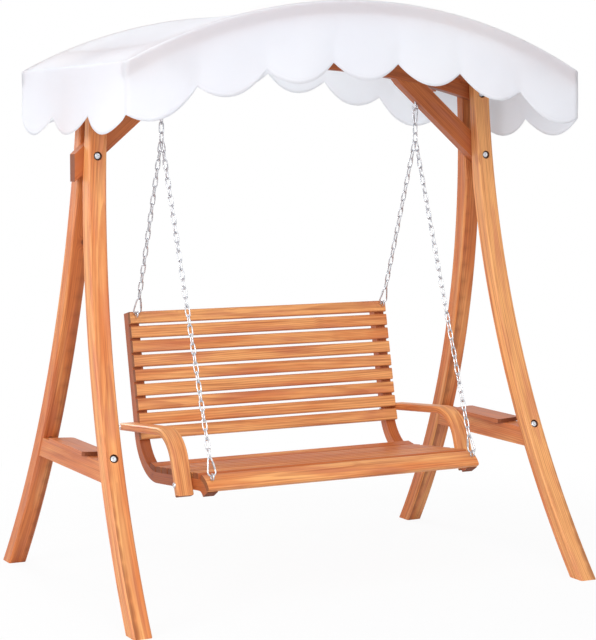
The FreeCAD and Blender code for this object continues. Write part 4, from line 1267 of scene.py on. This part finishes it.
@dataclass
class Canopy:
    """One sheet of cloth over the roof rails, with a scalloped valance all round."""

    cloth: Cloth
    # Roof
    half_width: float = 0.850
    front_y: float = -0.525
    rear_y: float = 0.440
    roof_radius: float = 1.780
    crown_z: float = 2.003
    shoulder: float = 0.010
    thickness: float = 0.0016
    # Valance and its scallops
    valance_drop: float = 0.202
    hem_radius: float = 2.130
    scallop_drop: float = 0.060
    curl: float = 0.014
    front_scallops: int = 7
    side_scallops: int = 3
    hem_fold: float = 0.014
    hem_raise: float = 0.0009
    # Drape: sag between the rails, pulls in the roof, ripples and creases in the valance
    sag: float = 0.009
    sag_power: float = 0.8
    pull: float = 0.004
    pull_pitch: Place = (2.3, 3.1, 3.0)
    ripple: float = 0.007
    ripple_pitch: Place = (4.2, 1.1, 8.0)
    crease: float = 0.35
    crease_pitch: Place = (13.0, 2.0, 2.0)
    # Marks for the cloth's finish: a distance out of a hem's reach, and where the valance lies in the cut
    off_hem: float = 0.2
    skirt_cut: float = -2.0
    # Grid: columns in a scallop, and rows
    columns: int = 14
    shoulder_rows: int = 4
    skirt_rows: int = 18

    @property
    def last(self) -> tuple[int, int]:
        """Numbers of the grid's last column and row."""
        return self.front_scallops * self.columns, self.side_scallops * self.columns

    @staticmethod
    def waver(first: float, second: float, pitch: Place) -> float:
        """Smooth noise of two lengths: cycles along each, and a place in the noise, make its pitch."""
        return noise.noise(Vector((first * pitch[0], second * pitch[1], pitch[2])))

    def roof_z(self, x: float) -> float:
        """Height of the roof's outside at a distance from the middle."""
        return self.crown_z - self.roof_radius + math.sqrt(self.roof_radius ** 2 - x * x)

    def hem_z(self, x: float) -> float:
        """Height of the cusps between scallops, which lie on a flatter arch than the roof."""
        return self.crown_z - self.valance_drop - self.hem_radius + math.sqrt(self.hem_radius ** 2 - x * x)

    def plan(self, column: int, row: int, inset: float) -> Span:
        """Place in plan of a crossing of the roof's grid.

        Args:
            column: count from the left.
            row: count from the front.
            inset: distance inside the valances.

        Returns:
            X and Y.
        """
        x_share, y_share = column / self.last[0], row / self.last[1]
        half = self.half_width - inset
        front, rear = self.front_y + inset, self.rear_y - inset
        return half * (2 * x_share - 1), front + (rear - front) * y_share

    def rim(self) -> list[Crossing]:
        """Walk round the roof's rim from the front left corner.

        Returns:
            The rim's crossings.
        """
        last_x, last_y = self.last
        around = [(i, 0) for i in range(last_x)] + [(last_x, j) for j in range(last_y)]
        around += [(i, last_y) for i in range(last_x, 0, -1)] + [(0, j) for j in range(last_y, 0, -1)]
        return [Crossing(i, j, (i == last_x) - (i == 0), (j == last_y) - (j == 0)) for i, j in around]

    def build(self) -> None:
        """Shape the sheet, with its cut as a UV map and its distances from hem and edge as attributes."""
        mesh = bmesh.new()
        cut = mesh.loops.layers.uv.new("cut")
        from_hem = mesh.verts.layers.float.new("from_hem")
        from_edge = mesh.verts.layers.float.new("from_edge")
        laid: dict[bmesh.types.BMVert, Span] = {}
        top = self.roof_points(mesh, laid, from_hem, from_edge)
        rim = self.rim()
        previous = [top[spot.column][spot.row] for spot in rim]
        walked = self.walk(rim)
        for step in range(1, self.shoulder_rows + self.skirt_rows + 1):
            current = []
            for spot, distance in zip(rim, walked):
                point, hem, edge = self.skirt_point(spot, step, distance)
                vertex = mesh.verts.new(point)
                vertex[from_hem] = hem
                vertex[from_edge] = edge
                laid[vertex] = (distance, self.skirt_cut - edge)
                current.append(vertex)
            for place in range(len(rim)):
                other = (place + 1) % len(rim)
                mesh.faces.new((previous[other], previous[place], current[place], current[other]))
            previous = current
        total = walked[-1] + (walked[1] - walked[0])
        for face in mesh.faces:
            spots = [laid[loop.vert] for loop in face.loops]
            wraps = max(s[0] for s in spots) - min(s[0] for s in spots) > total / 2
            for loop, spot in zip(face.loops, spots):
                near_start = wraps and spot[0] < total / 2
                loop[cut].uv = (spot[0] + total if near_start else spot[0], spot[1])
        data = bpy.data.meshes.new("canopy_cloth")
        mesh.normal_update()
        mesh.to_mesh(data)
        mesh.free()
        canopy = bpy.data.objects.new("canopy_cloth", data)
        bpy.context.collection.objects.link(canopy)
        self.finish(canopy)

    def roof_points(
        self,
        mesh: bmesh.types.BMesh,
        laid: dict[bmesh.types.BMVert, Span],
        from_hem: bmesh.types.BMLayerItem,
        from_edge: bmesh.types.BMLayerItem,
    ) -> list[list[bmesh.types.BMVert]]:
        """Lay the cloth over the two rails, a little slack between them.

        Args:
            mesh: the mesh to add to.
            laid: takes each point's place in the cut.
            from_hem: layer of the distance to the hem.
            from_edge: layer of the distance to the roof's edge.

        Returns:
            The roof's points, by column and row.
        """
        last_x, last_y = self.last
        top = []
        for i in range(last_x + 1):
            column = []
            for j in range(last_y + 1):
                x, y = self.plan(i, j, self.shoulder)
                hump = math.sin(math.pi * (y - self.front_y) / (self.rear_y - self.front_y))
                slack = self.sag * hump ** self.sag_power if 0 < j < last_y else 0.0
                pull = self.waver(x, y, self.pull_pitch) * self.pull * hump
                vertex = mesh.verts.new((x, y, self.roof_z(x) - slack + pull))
                edge_x = self.half_width - self.shoulder - abs(x)
                edge_y = min(y - self.front_y, self.rear_y - y) - self.shoulder
                vertex[from_hem] = 1.0
                vertex[from_edge] = -min(edge_x, edge_y, self.off_hem)
                laid[vertex] = (self.roof_radius * math.asin(x / self.roof_radius), y)
                column.append(vertex)
            top.append(column)
        for i in range(last_x):
            for j in range(last_y):
                mesh.faces.new((top[i][j], top[i + 1][j], top[i + 1][j + 1], top[i][j + 1]))
        return top

    def walk(self, rim: list[Crossing]) -> list[float]:
        """Distance round the valance from its start to each point of the rim.

        Args:
            rim: the rim's crossings.

        Returns:
            The distances, in metres.
        """
        distances = [0.0]
        for spot, after in zip(rim, rim[1:]):
            step = math.dist(self.plan(spot.column, spot.row, 0.0), self.plan(after.column, after.row, 0.0))
            distances.append(distances[-1] + step)
        return distances

    def skirt_point(self, spot: Crossing, step: int, walked: float) -> tuple[Vector, float, float]:
        """Place of one point of the valance.

        Args:
            spot: the rim's crossing above it.
            step: rows below the roof.
            walked: distance round the valance.

        Returns:
            The point, its distance to the hem, and its distance below the roof's edge.
        """
        inset_plan = self.plan(spot.column, spot.row, self.shoulder)
        full_plan = self.plan(spot.column, spot.row, 0.0)
        turn = math.pi / 2 * min(step / self.shoulder_rows, 1.0)
        spread = math.sin(turn)
        x, y = (a + (b - a) * spread for a, b in zip(inset_plan, full_plan))
        top = self.roof_z(inset_plan[0])
        if step <= self.shoulder_rows:
            drop = self.shoulder * (1 - math.cos(turn))
            return Vector((x, y, top - drop)), self.off_hem, self.shoulder * turn
        share = (step - self.shoulder_rows) / self.skirt_rows
        within = (spot.column if spot.out_y else spot.row) % self.columns / self.columns
        swell = 4 * within * (1 - within)
        begin_z = top - self.shoulder
        hem_z = self.hem_z(full_plan[0]) - self.scallop_drop * swell
        wave = self.waver(walked, share, self.ripple_pitch) * self.ripple * share
        fold = self.waver(walked, share, self.crease_pitch) * self.ripple * self.crease * share
        out = self.curl * swell * share ** 2 + wave + fold
        length = begin_z - hem_z
        out += self.hem_raise if length * (1 - share) < self.hem_fold else 0.0
        point = Vector((x + spot.out_x * out, y + spot.out_y * out, begin_z - length * share))
        return point, length * (1 - share), self.shoulder * math.pi / 2 + length * share

    def finish(self, canopy: bpy.types.Object) -> None:
        """Give the sheet its thickness and cloth, and hide the solids that it stands for.

        Args:
            canopy: the shaped sheet.
        """
        bpy.ops.object.select_all(action="DESELECT")
        bpy.context.view_layer.objects.active = canopy
        canopy.select_set(True)
        bpy.ops.object.shade_smooth()
        wall = canopy.modifiers.new("cloth", "SOLIDIFY")
        wall.thickness = self.thickness
        wall.offset = -1.0
        bpy.ops.object.modifier_apply(modifier=wall.name)
        arc = 2 * self.roof_radius * math.asin(self.half_width / self.roof_radius)
        depth = self.rear_y - self.front_y
        lobe = self.scallop_drop * 2 / 3
        side_drop = self.roof_z(self.half_width) - self.hem_z(self.half_width)
        front_drop = (self.valance_drop * 2 + side_drop) / 3
        area = arc * depth + 4 * self.half_width * (front_drop + lobe) + 2 * depth * (side_drop + lobe)
        valances = [f"{name}_valance" for name in ("front", "rear", "left", "right")]
        settle(canopy, self.cloth.material("awning_cloth"), "frame", "cloth", "roof_cover", *valances)
        flat_width = arc + 2 * (side_drop + self.scallop_drop)


@dataclass
class Hangings:
    """Eyes, snap hooks and chains that carry the bench."""

    zinc: bpy.types.Material
    bench: BenchLines
    pivot_z: float
    aside: float = 0.505
    # Screw eyes
    eye_radius: float = 0.010
    eye_wire: float = 0.006
    eye_shank: float = 0.052
    eye_point: float = 0.008
    eye_tip: float = 0.3
    eye_play: float = 0.0012
    eye_sweep: float = math.radians(290)
    # Chain links, the wide ring links, and the number of links in each chain
    link_wire: float = 0.005
    link_inside: float = 0.03298
    link_width: float = 0.010
    ring_width: float = 0.022
    play: float = 0.00035
    parting: float = 0.0055
    links: dict[str, int] = field(default_factory=lambda: {"front": 34, "rear": 18})
    # Snap hooks, with the tongue and rivet that hold the gate
    hook_wire: float = 0.006
    hook_wide: float = 0.014
    hook_narrow: float = 0.007
    hook_length: float = 0.062
    stub: float = 0.005
    nose_gap: float = 0.006
    tongue_along: float = 0.0065
    tongue_size: Place = (0.0044, 0.0022, 0.009)
    tongue_bevel: float = 0.0004
    rivet_along: float = 0.009
    rivet_radius: float = 0.0012
    rivet_length: float = 0.0068
    rivet_bevel: float = 0.0003

    @staticmethod
    def wire_section(wire: float, place: Vector, facing: Vector) -> bpy.types.Object:
        """Round section at the start of a bent wire, open for editing.

        Args:
            wire: the wire's diameter.
            place: its middle.
            facing: the direction of the wire.

        Returns:
            The section.
        """
        turn = facing.to_track_quat("Z", "Y").to_euler()
        section = begin(
            bpy.ops.mesh.primitive_circle_add,
            vertices=10, radius=wire / 2, fill_type="NGON", location=place, rotation=turn)
        bpy.ops.mesh.select_mode(type="FACE")
        bpy.ops.mesh.select_all(action="SELECT")
        return section

    @staticmethod
    def pull(step: Vector) -> None:
        """Draw the end of a wire straight on."""
        bpy.ops.mesh.extrude_region_move(TRANSFORM_OT_translate={"value": step})

    @staticmethod
    def bend(centre: Vector, angle: float, steps: int) -> None:
        """Bend the end of a wire about the Y axis through a centre, from +X towards +Z."""
        bpy.ops.mesh.spin(steps=steps, angle=angle, center=centre, axis=ALONG_Y)

    def eye(self) -> bpy.types.Object:
        """Screw eye with its ring round the origin and its shank along +Z.

        Returns:
            The pattern.
        """
        crown = UP * self.eye_radius
        ring = self.wire_section(self.eye_wire, crown, ALONG_X)
        self.bend(Vector(), -self.eye_sweep, steps=22)
        end_edit(ring)
        shank = self.wire_section(self.eye_wire * self.eye_tip, crown + UP * self.eye_shank, -UP)
        self.pull(UP * -self.eye_point)
        bpy.ops.transform.resize(value=(1 / self.eye_tip, 1 / self.eye_tip, 1.0))
        self.pull(UP * (self.eye_point - self.eye_shank))
        end_edit(shank)
        return join("screw_eye", [ring, shank])

    def link(self, inner_width: float) -> bpy.types.Object:
        """Chain link round its own middle: length along Z, width along X.

        Args:
            inner_width: clear width inside the wire.

        Returns:
            The pattern.
        """
        half_width = (inner_width + self.link_wire) / 2
        stretch = (self.link_inside + self.link_wire) / 2 - half_width
        link = begin(
            bpy.ops.mesh.primitive_torus_add,
            major_radius=half_width, minor_radius=self.link_wire / 2,
            major_segments=14, minor_segments=7, rotation=(math.pi / 2, 0.0, 0.0))
        tiny = half_width / 50
        for way in (-1, 1):
            choose(link, lambda spot, way=way: spot.z * way > tiny)
            bpy.ops.transform.translate(value=UP * (way * stretch))
        return end_edit(link, smooth_angle=60.0)

    def hook_side(self) -> tuple[Vector, Vector, float, float]:
        """Work out a hook's straight side.

        Returns:
            Its point at the narrow end, its direction, its length and its slant.
        """
        span = self.hook_length - self.hook_wide - self.hook_narrow
        slant = math.asin((self.hook_wide - self.hook_narrow) / span)
        height = self.hook_length - self.hook_narrow + self.hook_narrow * math.sin(slant)
        tangent = Vector((self.hook_narrow * math.cos(slant), 0.0, height))
        return tangent, Vector((math.sin(slant), 0.0, -math.cos(slant))), span * math.cos(slant), slant

    def hook(self) -> bpy.types.Object:
        """Snap hook without its gate: wide end at Z = 0, gate side towards +X.

        Returns:
            The pattern.
        """
        tangent, run, length, slant = self.hook_side()
        hook = self.wire_section(self.hook_wire, tangent + run * self.stub, -run)
        self.pull(-run * self.stub)
        self.bend(UP * (self.hook_length - self.hook_narrow), math.pi - 2 * slant, steps=8)
        self.pull(Vector((-run.x, 0.0, run.z)) * length)
        self.bend(UP * self.hook_wide, math.pi + 2 * slant, steps=12)
        self.pull(-run * self.nose_gap)
        end_edit(hook)
        tongue = begin(
            bpy.ops.mesh.primitive_cube_add,
            size=1.0, scale=self.tongue_size,
            location=tangent + run * self.tongue_along, rotation=(0.0, math.pi - slant, 0.0))
        bpy.ops.mesh.bevel(offset=self.tongue_bevel, segments=1)
        end_edit(tongue)
        rivet = begin(
            bpy.ops.mesh.primitive_cylinder_add,
            vertices=12, radius=self.rivet_radius, depth=self.rivet_length,
            location=tangent + run * self.rivet_along, rotation=(math.pi / 2, 0.0, 0.0))
        bpy.ops.mesh.bevel(offset=self.rivet_bevel, segments=1)
        end_edit(rivet)
        return join("snap_hook", [hook, tongue, rivet])

    def hang_offset(self, wire: float) -> float:
        """From the middle of a wire to the middle of the link that hangs in it."""
        return self.link_inside / 2 - wire / 2 - self.play

    def bench_eye(self, end_name: str) -> Axis:
        """Middle of the bench eyes' rings at one end, and the direction away from the wood."""
        return self.bench.eye(end_name, self.eye_radius + self.eye_wire / 2)

    def run(self, end_name: str) -> tuple[Vector, Vector, list[Vector]]:
        """Hook's wide end, direction and link middles of one chain, in the Y-Z plane.

        Args:
            end_name: front or rear.

        Returns:
            The lower hook's end, the direction up the chain, and the links' middles from the top.
        """
        ring, _ = self.bench_eye(end_name)
        split = Vector((0.0, ENDS[end_name] * self.parting, self.heights()["parting"]))
        upward = (split - ring).normalized()
        crown = ring + upward * (self.eye_radius - (self.eye_wire + self.hook_wire) / 2 - self.eye_play)
        last = crown + upward * (self.hook_length + self.hang_offset(self.hook_wire))
        first = split - upward * self.hang_offset(self.link_wire)
        count = self.links[end_name]
        return crown, upward, [first.lerp(last, number / (count - 1)) for number in range(count)]

    def heights(self) -> dict[str, float]:
        """Work out what hangs straight under a hanger eye.

        Returns:
            Heights of the hook's end, the link, the ring and the chains' parting, by name.
        """
        crown = self.pivot_z + (self.eye_wire + self.hook_wire) / 2 + self.eye_play
        link = crown - self.hook_length - self.hang_offset(self.hook_wire)
        ring = link - self.link_inside + self.play
        parting = ring - (self.link_inside + self.link_wire) / 2
        return {"crown": crown, "link": link, "ring": ring, "parting": parting}

    def hook_places(self) -> list[Matrix]:
        """Place the six snap hooks.

        Returns:
            Their matrices.
        """
        places = []
        for side in SIDES.values():
            aside = ALONG_X * (side * self.aside)
            places.append(turned_to(aside + UP * self.heights()["crown"], ALONG_Y, -UP))
            for end_name in ENDS:
                crown, upward, _ = self.run(end_name)
                places.append(turned_to(aside + crown, -side * ALONG_X, upward))
        return places

    def bench_eye_places(self) -> list[Matrix]:
        """Place the four bench eyes.

        Returns:
            Their matrices.
        """
        places = []
        for side in SIDES.values():
            for end_name in ENDS:
                ring, outward = self.bench_eye(end_name)
                middle = ring + ALONG_X * (side * self.aside)
                places.append(turned_to(middle, outward.cross(ALONG_X), -outward))
        return places

    def build(self) -> None:
        """Model the wire pieces once each, copy them to their places and dress them."""
        eye, hook = self.eye(), self.hook()
        link, ring = self.link(self.link_width), self.link(self.ring_width)
        asides = [ALONG_X * (side * self.aside) for side in SIDES.values()]
        hanger = [Matrix.Translation(aside + UP * (self.pivot_z + self.eye_radius)) for aside in asides]
        self.hang(copies(eye, "hanger_screw_eyes", hanger), "frame", "hanger_eyes")
        self.hang(copies(eye, "bench_screw_eyes", self.bench_eye_places()), "swing", "bench_eyes")
        self.hang(copies(hook, "snap_hook_wires", self.hook_places()), "swing", "snap_hooks")
        heights = self.heights()
        pair = ((link, heights["link"], ALONG_X), (ring, heights["ring"], ALONG_Y))
        upper = []
        for aside in asides:
            for pattern, height, width in pair:
                upper.append(copies(pattern, "upper", [turned_to(aside + UP * height, width, -UP)]))
        self.hang(join("upper_chain_links", upper), "swing", "upper_links")
        for side_name, aside in zip(SIDES, asides):
            for end_name in ENDS:
                _, upward, middles = self.run(end_name)
                widths = (ALONG_X, upward.cross(ALONG_X))
                places = [turned_to(m + aside, widths[n % 2], upward) for n, m in enumerate(middles)]
                chain = copies(link, f"{side_name}_{end_name}_chain_links", places)
                self.hang(chain, "swing", f"{side_name}_{end_name}_chain")
        discard(eye, hook, link, ring)

    def hang(self, piece: bpy.types.Object, body: str, node: str) -> None:
        """Settle a wire piece on its body, in place of its solid."""
        settle(piece, self.zinc, body, "zinc", node)


class BoltKind(NamedTuple):
    """Radius and height of a bolt's head, and the radii of its shank and its nut's corners."""

    head: float
    height: float
    shank: float
    nut: float


@dataclass
class Bolts:
    """Round-headed bolts of the frame and the arms."""

    legs: LegLines
    bench: BenchLines
    polished: Zinc = Zinc(bright=(234, 236, 240), dull=(192, 196, 202))
    frame_kind: BoltKind = BoltKind(0.011, 0.007, 0.005, 0.0092)
    arm_kind: BoltKind = BoltKind(0.009, 0.005, 0.004, 0.0075)
    nut_height: float = 0.008
    nut_bevel: float = 0.0006
    # Form of the head, its socket and the shank's tip, in shares of their own sizes
    dome: float = 0.62
    dome_profile: float = 0.6
    socket_rim: float = 0.16
    socket_depth: float = 0.5
    tip_bevel: float = 0.2
    # Depth of the counterbores, heights and lengths
    sinking: float = 0.010
    leg_heights: Span = (1.494, 1.718)
    crossbar_height: float = 0.521
    crossbar_length: float = 0.130
    arm_length: float = 0.100

    def bolt(self, kind: BoltKind, length: float, has_nut: bool) -> bpy.types.Object:
        """Bolt along +Z, its domed head with a socket below Z = 0.

        Args:
            kind: the bolt's sizes.
            length: length under the head.
            has_nut: whether a nut closes it.

        Returns:
            The pattern.
        """
        add = bpy.ops.mesh.primitive_cylinder_add
        head, height, shank, nut = kind
        cap = begin(add, vertices=28, radius=head, depth=height, location=UP * (-height / 2))
        choose_faces(cap, lambda middle, normal: normal.z < -SQUARE)
        bpy.ops.mesh.bevel(offset=height * self.dome, segments=5, profile=self.dome_profile)
        choose_faces(cap, lambda middle, normal: normal.z < -SQUARE and middle.xy.length < head / 20)
        bpy.ops.mesh.inset(thickness=head * self.socket_rim)
        bpy.ops.mesh.extrude_region_move(TRANSFORM_OT_translate={"value": UP * (height * self.socket_depth)})
        end_edit(cap, smooth_angle=30.0)
        stem = begin(add, vertices=16, radius=shank, depth=length, location=UP * (length / 2))
        choose_faces(stem, lambda middle, normal: normal.z > SQUARE)
        bpy.ops.mesh.bevel(offset=shank * self.tip_bevel, segments=1)
        end_edit(stem)
        pieces = [cap, stem]
        if has_nut:
            middle = UP * (length + self.nut_height / 2)
            hexagon = begin(add, vertices=6, radius=nut, depth=self.nut_height, location=middle)
            bpy.ops.mesh.bevel(offset=self.nut_bevel, segments=2)
            pieces.append(end_edit(hexagon))
        return join("bolt", pieces)

    def sinkings(self, side: int, end: int) -> tuple[Axis, ...]:
        """Axes of the sinkings in one leg.

        Args:
            side: -1 for left, 1 for right.
            end: -1 for front, 1 for rear.

        Returns:
            A point and the direction of each.
        """
        through = [(Vector((side * self.legs.middle_x(z), 0.0, z)), ALONG_Y) for z in self.leg_heights]
        return (*through, self.legs.inward_axis(side, end, self.crossbar_height))

    def placed(
        self, kind: BoltKind, length: float, has_nut: bool, name: str, axes: Iterable[Axis]
    ) -> bpy.types.Object:
        """Model a bolt and copy it to its places.

        Args:
            kind: the bolt's sizes.
            length: length under the head.
            has_nut: whether a nut closes it.
            name: name of the copies.
            axes: where each head bears on the wood, and the direction of each shank.

        Returns:
            The bolts, as one piece.
        """
        bolt = self.bolt(kind, length, has_nut)
        turns = [(start, way.to_track_quat("Z", "Y").to_matrix().to_4x4()) for start, way in axes]
        bolts = copies(bolt, name, [Matrix.Translation(start) @ turn for start, turn in turns])
        discard(bolt)
        return bolts

    def build(self) -> None:
        """Model each kind of bolt once, copy it to its places and dress it."""
        zinc = self.polished.material("bolt_zinc")
        frame = []
        for z in self.leg_heights:
            x, seat = self.legs.middle_x(z), self.legs.hollow_y(z) - self.sinking
            axes = [(Vector((side * x, -seat, z)), ALONG_Y) for side in SIDES.values()]
            frame.append(self.placed(self.frame_kind, 2 * seat, True, "through_bolts", axes))
        axes = []
        for side in SIDES.values():
            for end in ENDS.values():
                point, way = self.legs.inward_axis(side, end, self.crossbar_height)
                axes.append((point + way * self.sinking, way))
        length = self.crossbar_length - self.sinking
        frame.append(self.placed(self.frame_kind, length, False, "crossbar_bolts", axes))
        settle(join("frame_bolt_set", frame), zinc, "frame", "zinc", "frame_bolts")
        axes = []
        for side in SIDES.values():
            outside = ALONG_X * (side * (self.bench.half_width + self.bench.arm_width))
            axes += [(outside + point, -side * ALONG_X) for point in self.bench.arm_bolts()]
        arms = self.placed(self.arm_kind, self.arm_length, True, "arm_bolt_set", axes)
        settle(arms, zinc, "swing", "zinc", "arm_bolts")


class Lamp(NamedTuple):
    """A soft lamp: its place, the point that it faces, the side of its square face, and its watts."""

    name: str
    place: Place
    aim: Place
    size: float
    power: float


@dataclass
class Studio:
    """Pale floor, soft light and the camera."""

    # Camera
    eye: Place = (-3.031, -5.873, 1.541)
    yaw: float = math.radians(27.46)
    pitch: float = math.radians(-5.48)
    focal_pixels: float = 1856.2
    picture_height: float = 640.0
    sensor: float = 36.0
    # Light and floor
    world_level: float = 0.67
    floor_size: float = 60.0
    floor_white: Colour = (222, 222, 225)
    floor_glow: float = 0.92
    floor_roughness: float = 0.9
    floor_shine: float = 0.1
    shadow_reach: float = 2.6
    shadow_core: float = 0.45
    lamps: tuple[Lamp, ...] = (
        Lamp("key_softbox", (-1.4, -6.0, 3.4), (0.0, 0.0, 1.0), 3.2, 156.0),
        Lamp("left_softbox", (-5.6, -1.6, 2.6), (0.0, 0.0, 1.3), 2.8, 150.0),
        Lamp("rear_softbox", (-1.2, 5.8, 3.2), (0.0, 0.0, 1.6), 3.0, 175.0),
        Lamp("top_softbox", (-2.4, -1.6, 5.4), (0.0, 0.0, 1.6), 2.8, 30.0),
    )

    def build(self) -> None:
        """Set the whole studio up."""
        self.camera()
        self.sky()
        self.floor()
        for lamp in self.lamps:
            self.hang(lamp)
        view = bpy.context.scene.view_settings
        view.view_transform = "Standard"

    def camera(self) -> None:
        """Stand the camera where the photograph was taken."""
        data = bpy.data.cameras.new("photo_camera")
        data.sensor_width = self.sensor
        data.lens = self.focal_pixels / self.picture_height * self.sensor
        camera = bpy.data.objects.new("photo_camera", data)
        level = math.cos(self.pitch)
        way = Vector((math.sin(self.yaw) * level, math.cos(self.yaw) * level, math.sin(self.pitch)))
        camera.location = self.eye
        camera.rotation_euler = way.to_track_quat("-Z", "Y").to_euler()
        bpy.context.collection.objects.link(camera)
        bpy.context.scene.camera = camera

    def sky(self) -> None:
        """Even soft light from all round, and white behind the object."""
        world = bpy.data.worlds.new("studio")
        bpy.context.scene.world = world
        recipe = Recipe(world)
        path = recipe.node("ShaderNodeLightPath").outputs
        seen = Wire(recipe, path["Is Camera Ray"]) + Wire(recipe, path["Is Glossy Ray"])
        seen = seen + Wire(recipe, path["Is Transmission Ray"])
        strength = self.world_level + seen * (1 - self.world_level)
        recipe.close(recipe.add("ShaderNodeBackground", inputs={"Color": WHITE, "Strength": strength}))

    def floor(self) -> None:
        """Pale floor that keeps the shadow near the object and fades to white far off."""
        floor = begin(bpy.ops.mesh.primitive_plane_add, size=self.floor_size)
        end_edit(floor)
        floor.name = "floor"
        recipe = Recipe(bpy.data.materials.new("pale_floor"))
        x, y, _ = recipe.split(recipe.point())
        away = (x * x + y * y).root()
        far = recipe.ramp(away, self.shadow_core * self.shadow_reach, self.shadow_reach)
        finish = {
            "Base Color": light(self.floor_white),
            "Roughness": self.floor_roughness,
            "Specular IOR Level": self.floor_shine,
        }
        white = recipe.add("ShaderNodeEmission", inputs={"Color": WHITE, "Strength": 1.0})
        seen = recipe.add("ShaderNodeLightPath", output="Is Camera Ray")
        share = (self.floor_glow + far * (1 - self.floor_glow)) * seen
        mixed = {0: share, 1: recipe.surface(finish), 2: white}
        dress(floor, recipe.close(recipe.add("ShaderNodeMixShader", inputs=mixed)))

    @staticmethod
    def hang(lamp: Lamp) -> None:
        """Hang one soft lamp.

        Args:
            lamp: its name, place and light.
        """
        data = bpy.data.lights.new(lamp.name, "AREA")
        data.size = lamp.size
        data.energy = lamp.power
        holder = bpy.data.objects.new(lamp.name, data)
        holder.location = lamp.place
        holder.rotation_euler = (Vector(lamp.aim) - Vector(lamp.place)).to_track_quat("-Z", "Y").to_euler()
        bpy.context.collection.objects.link(holder)


def main() -> None:
    """Build the swing's looks in order."""
    logging.basicConfig(level=logging.INFO, format="%(message)s")
    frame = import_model()
    nodes = frame["nodes"]
    swing = next(joint for joint in frame["joints"] if joint["name"] == "bench_swing")
    legs, bench = LegLines(), BenchLines()
    zinc = Zinc().material("bright_zinc")
    bolts = Bolts(legs, bench)
    Timbers(nodes, Larch(), bolts, legs, bench).dress()
    Canopy(Cloth()).build()
    Hangings(zinc, bench, swing["pos_m"][2]).build()
    bolts.build()
    for name, node in nodes.items():
        if name.endswith("_gate"):
            dress(node, zinc)
            LOG.info("%s: zinc", name)
    Studio().build()


if __name__ == "__main__":
    main()
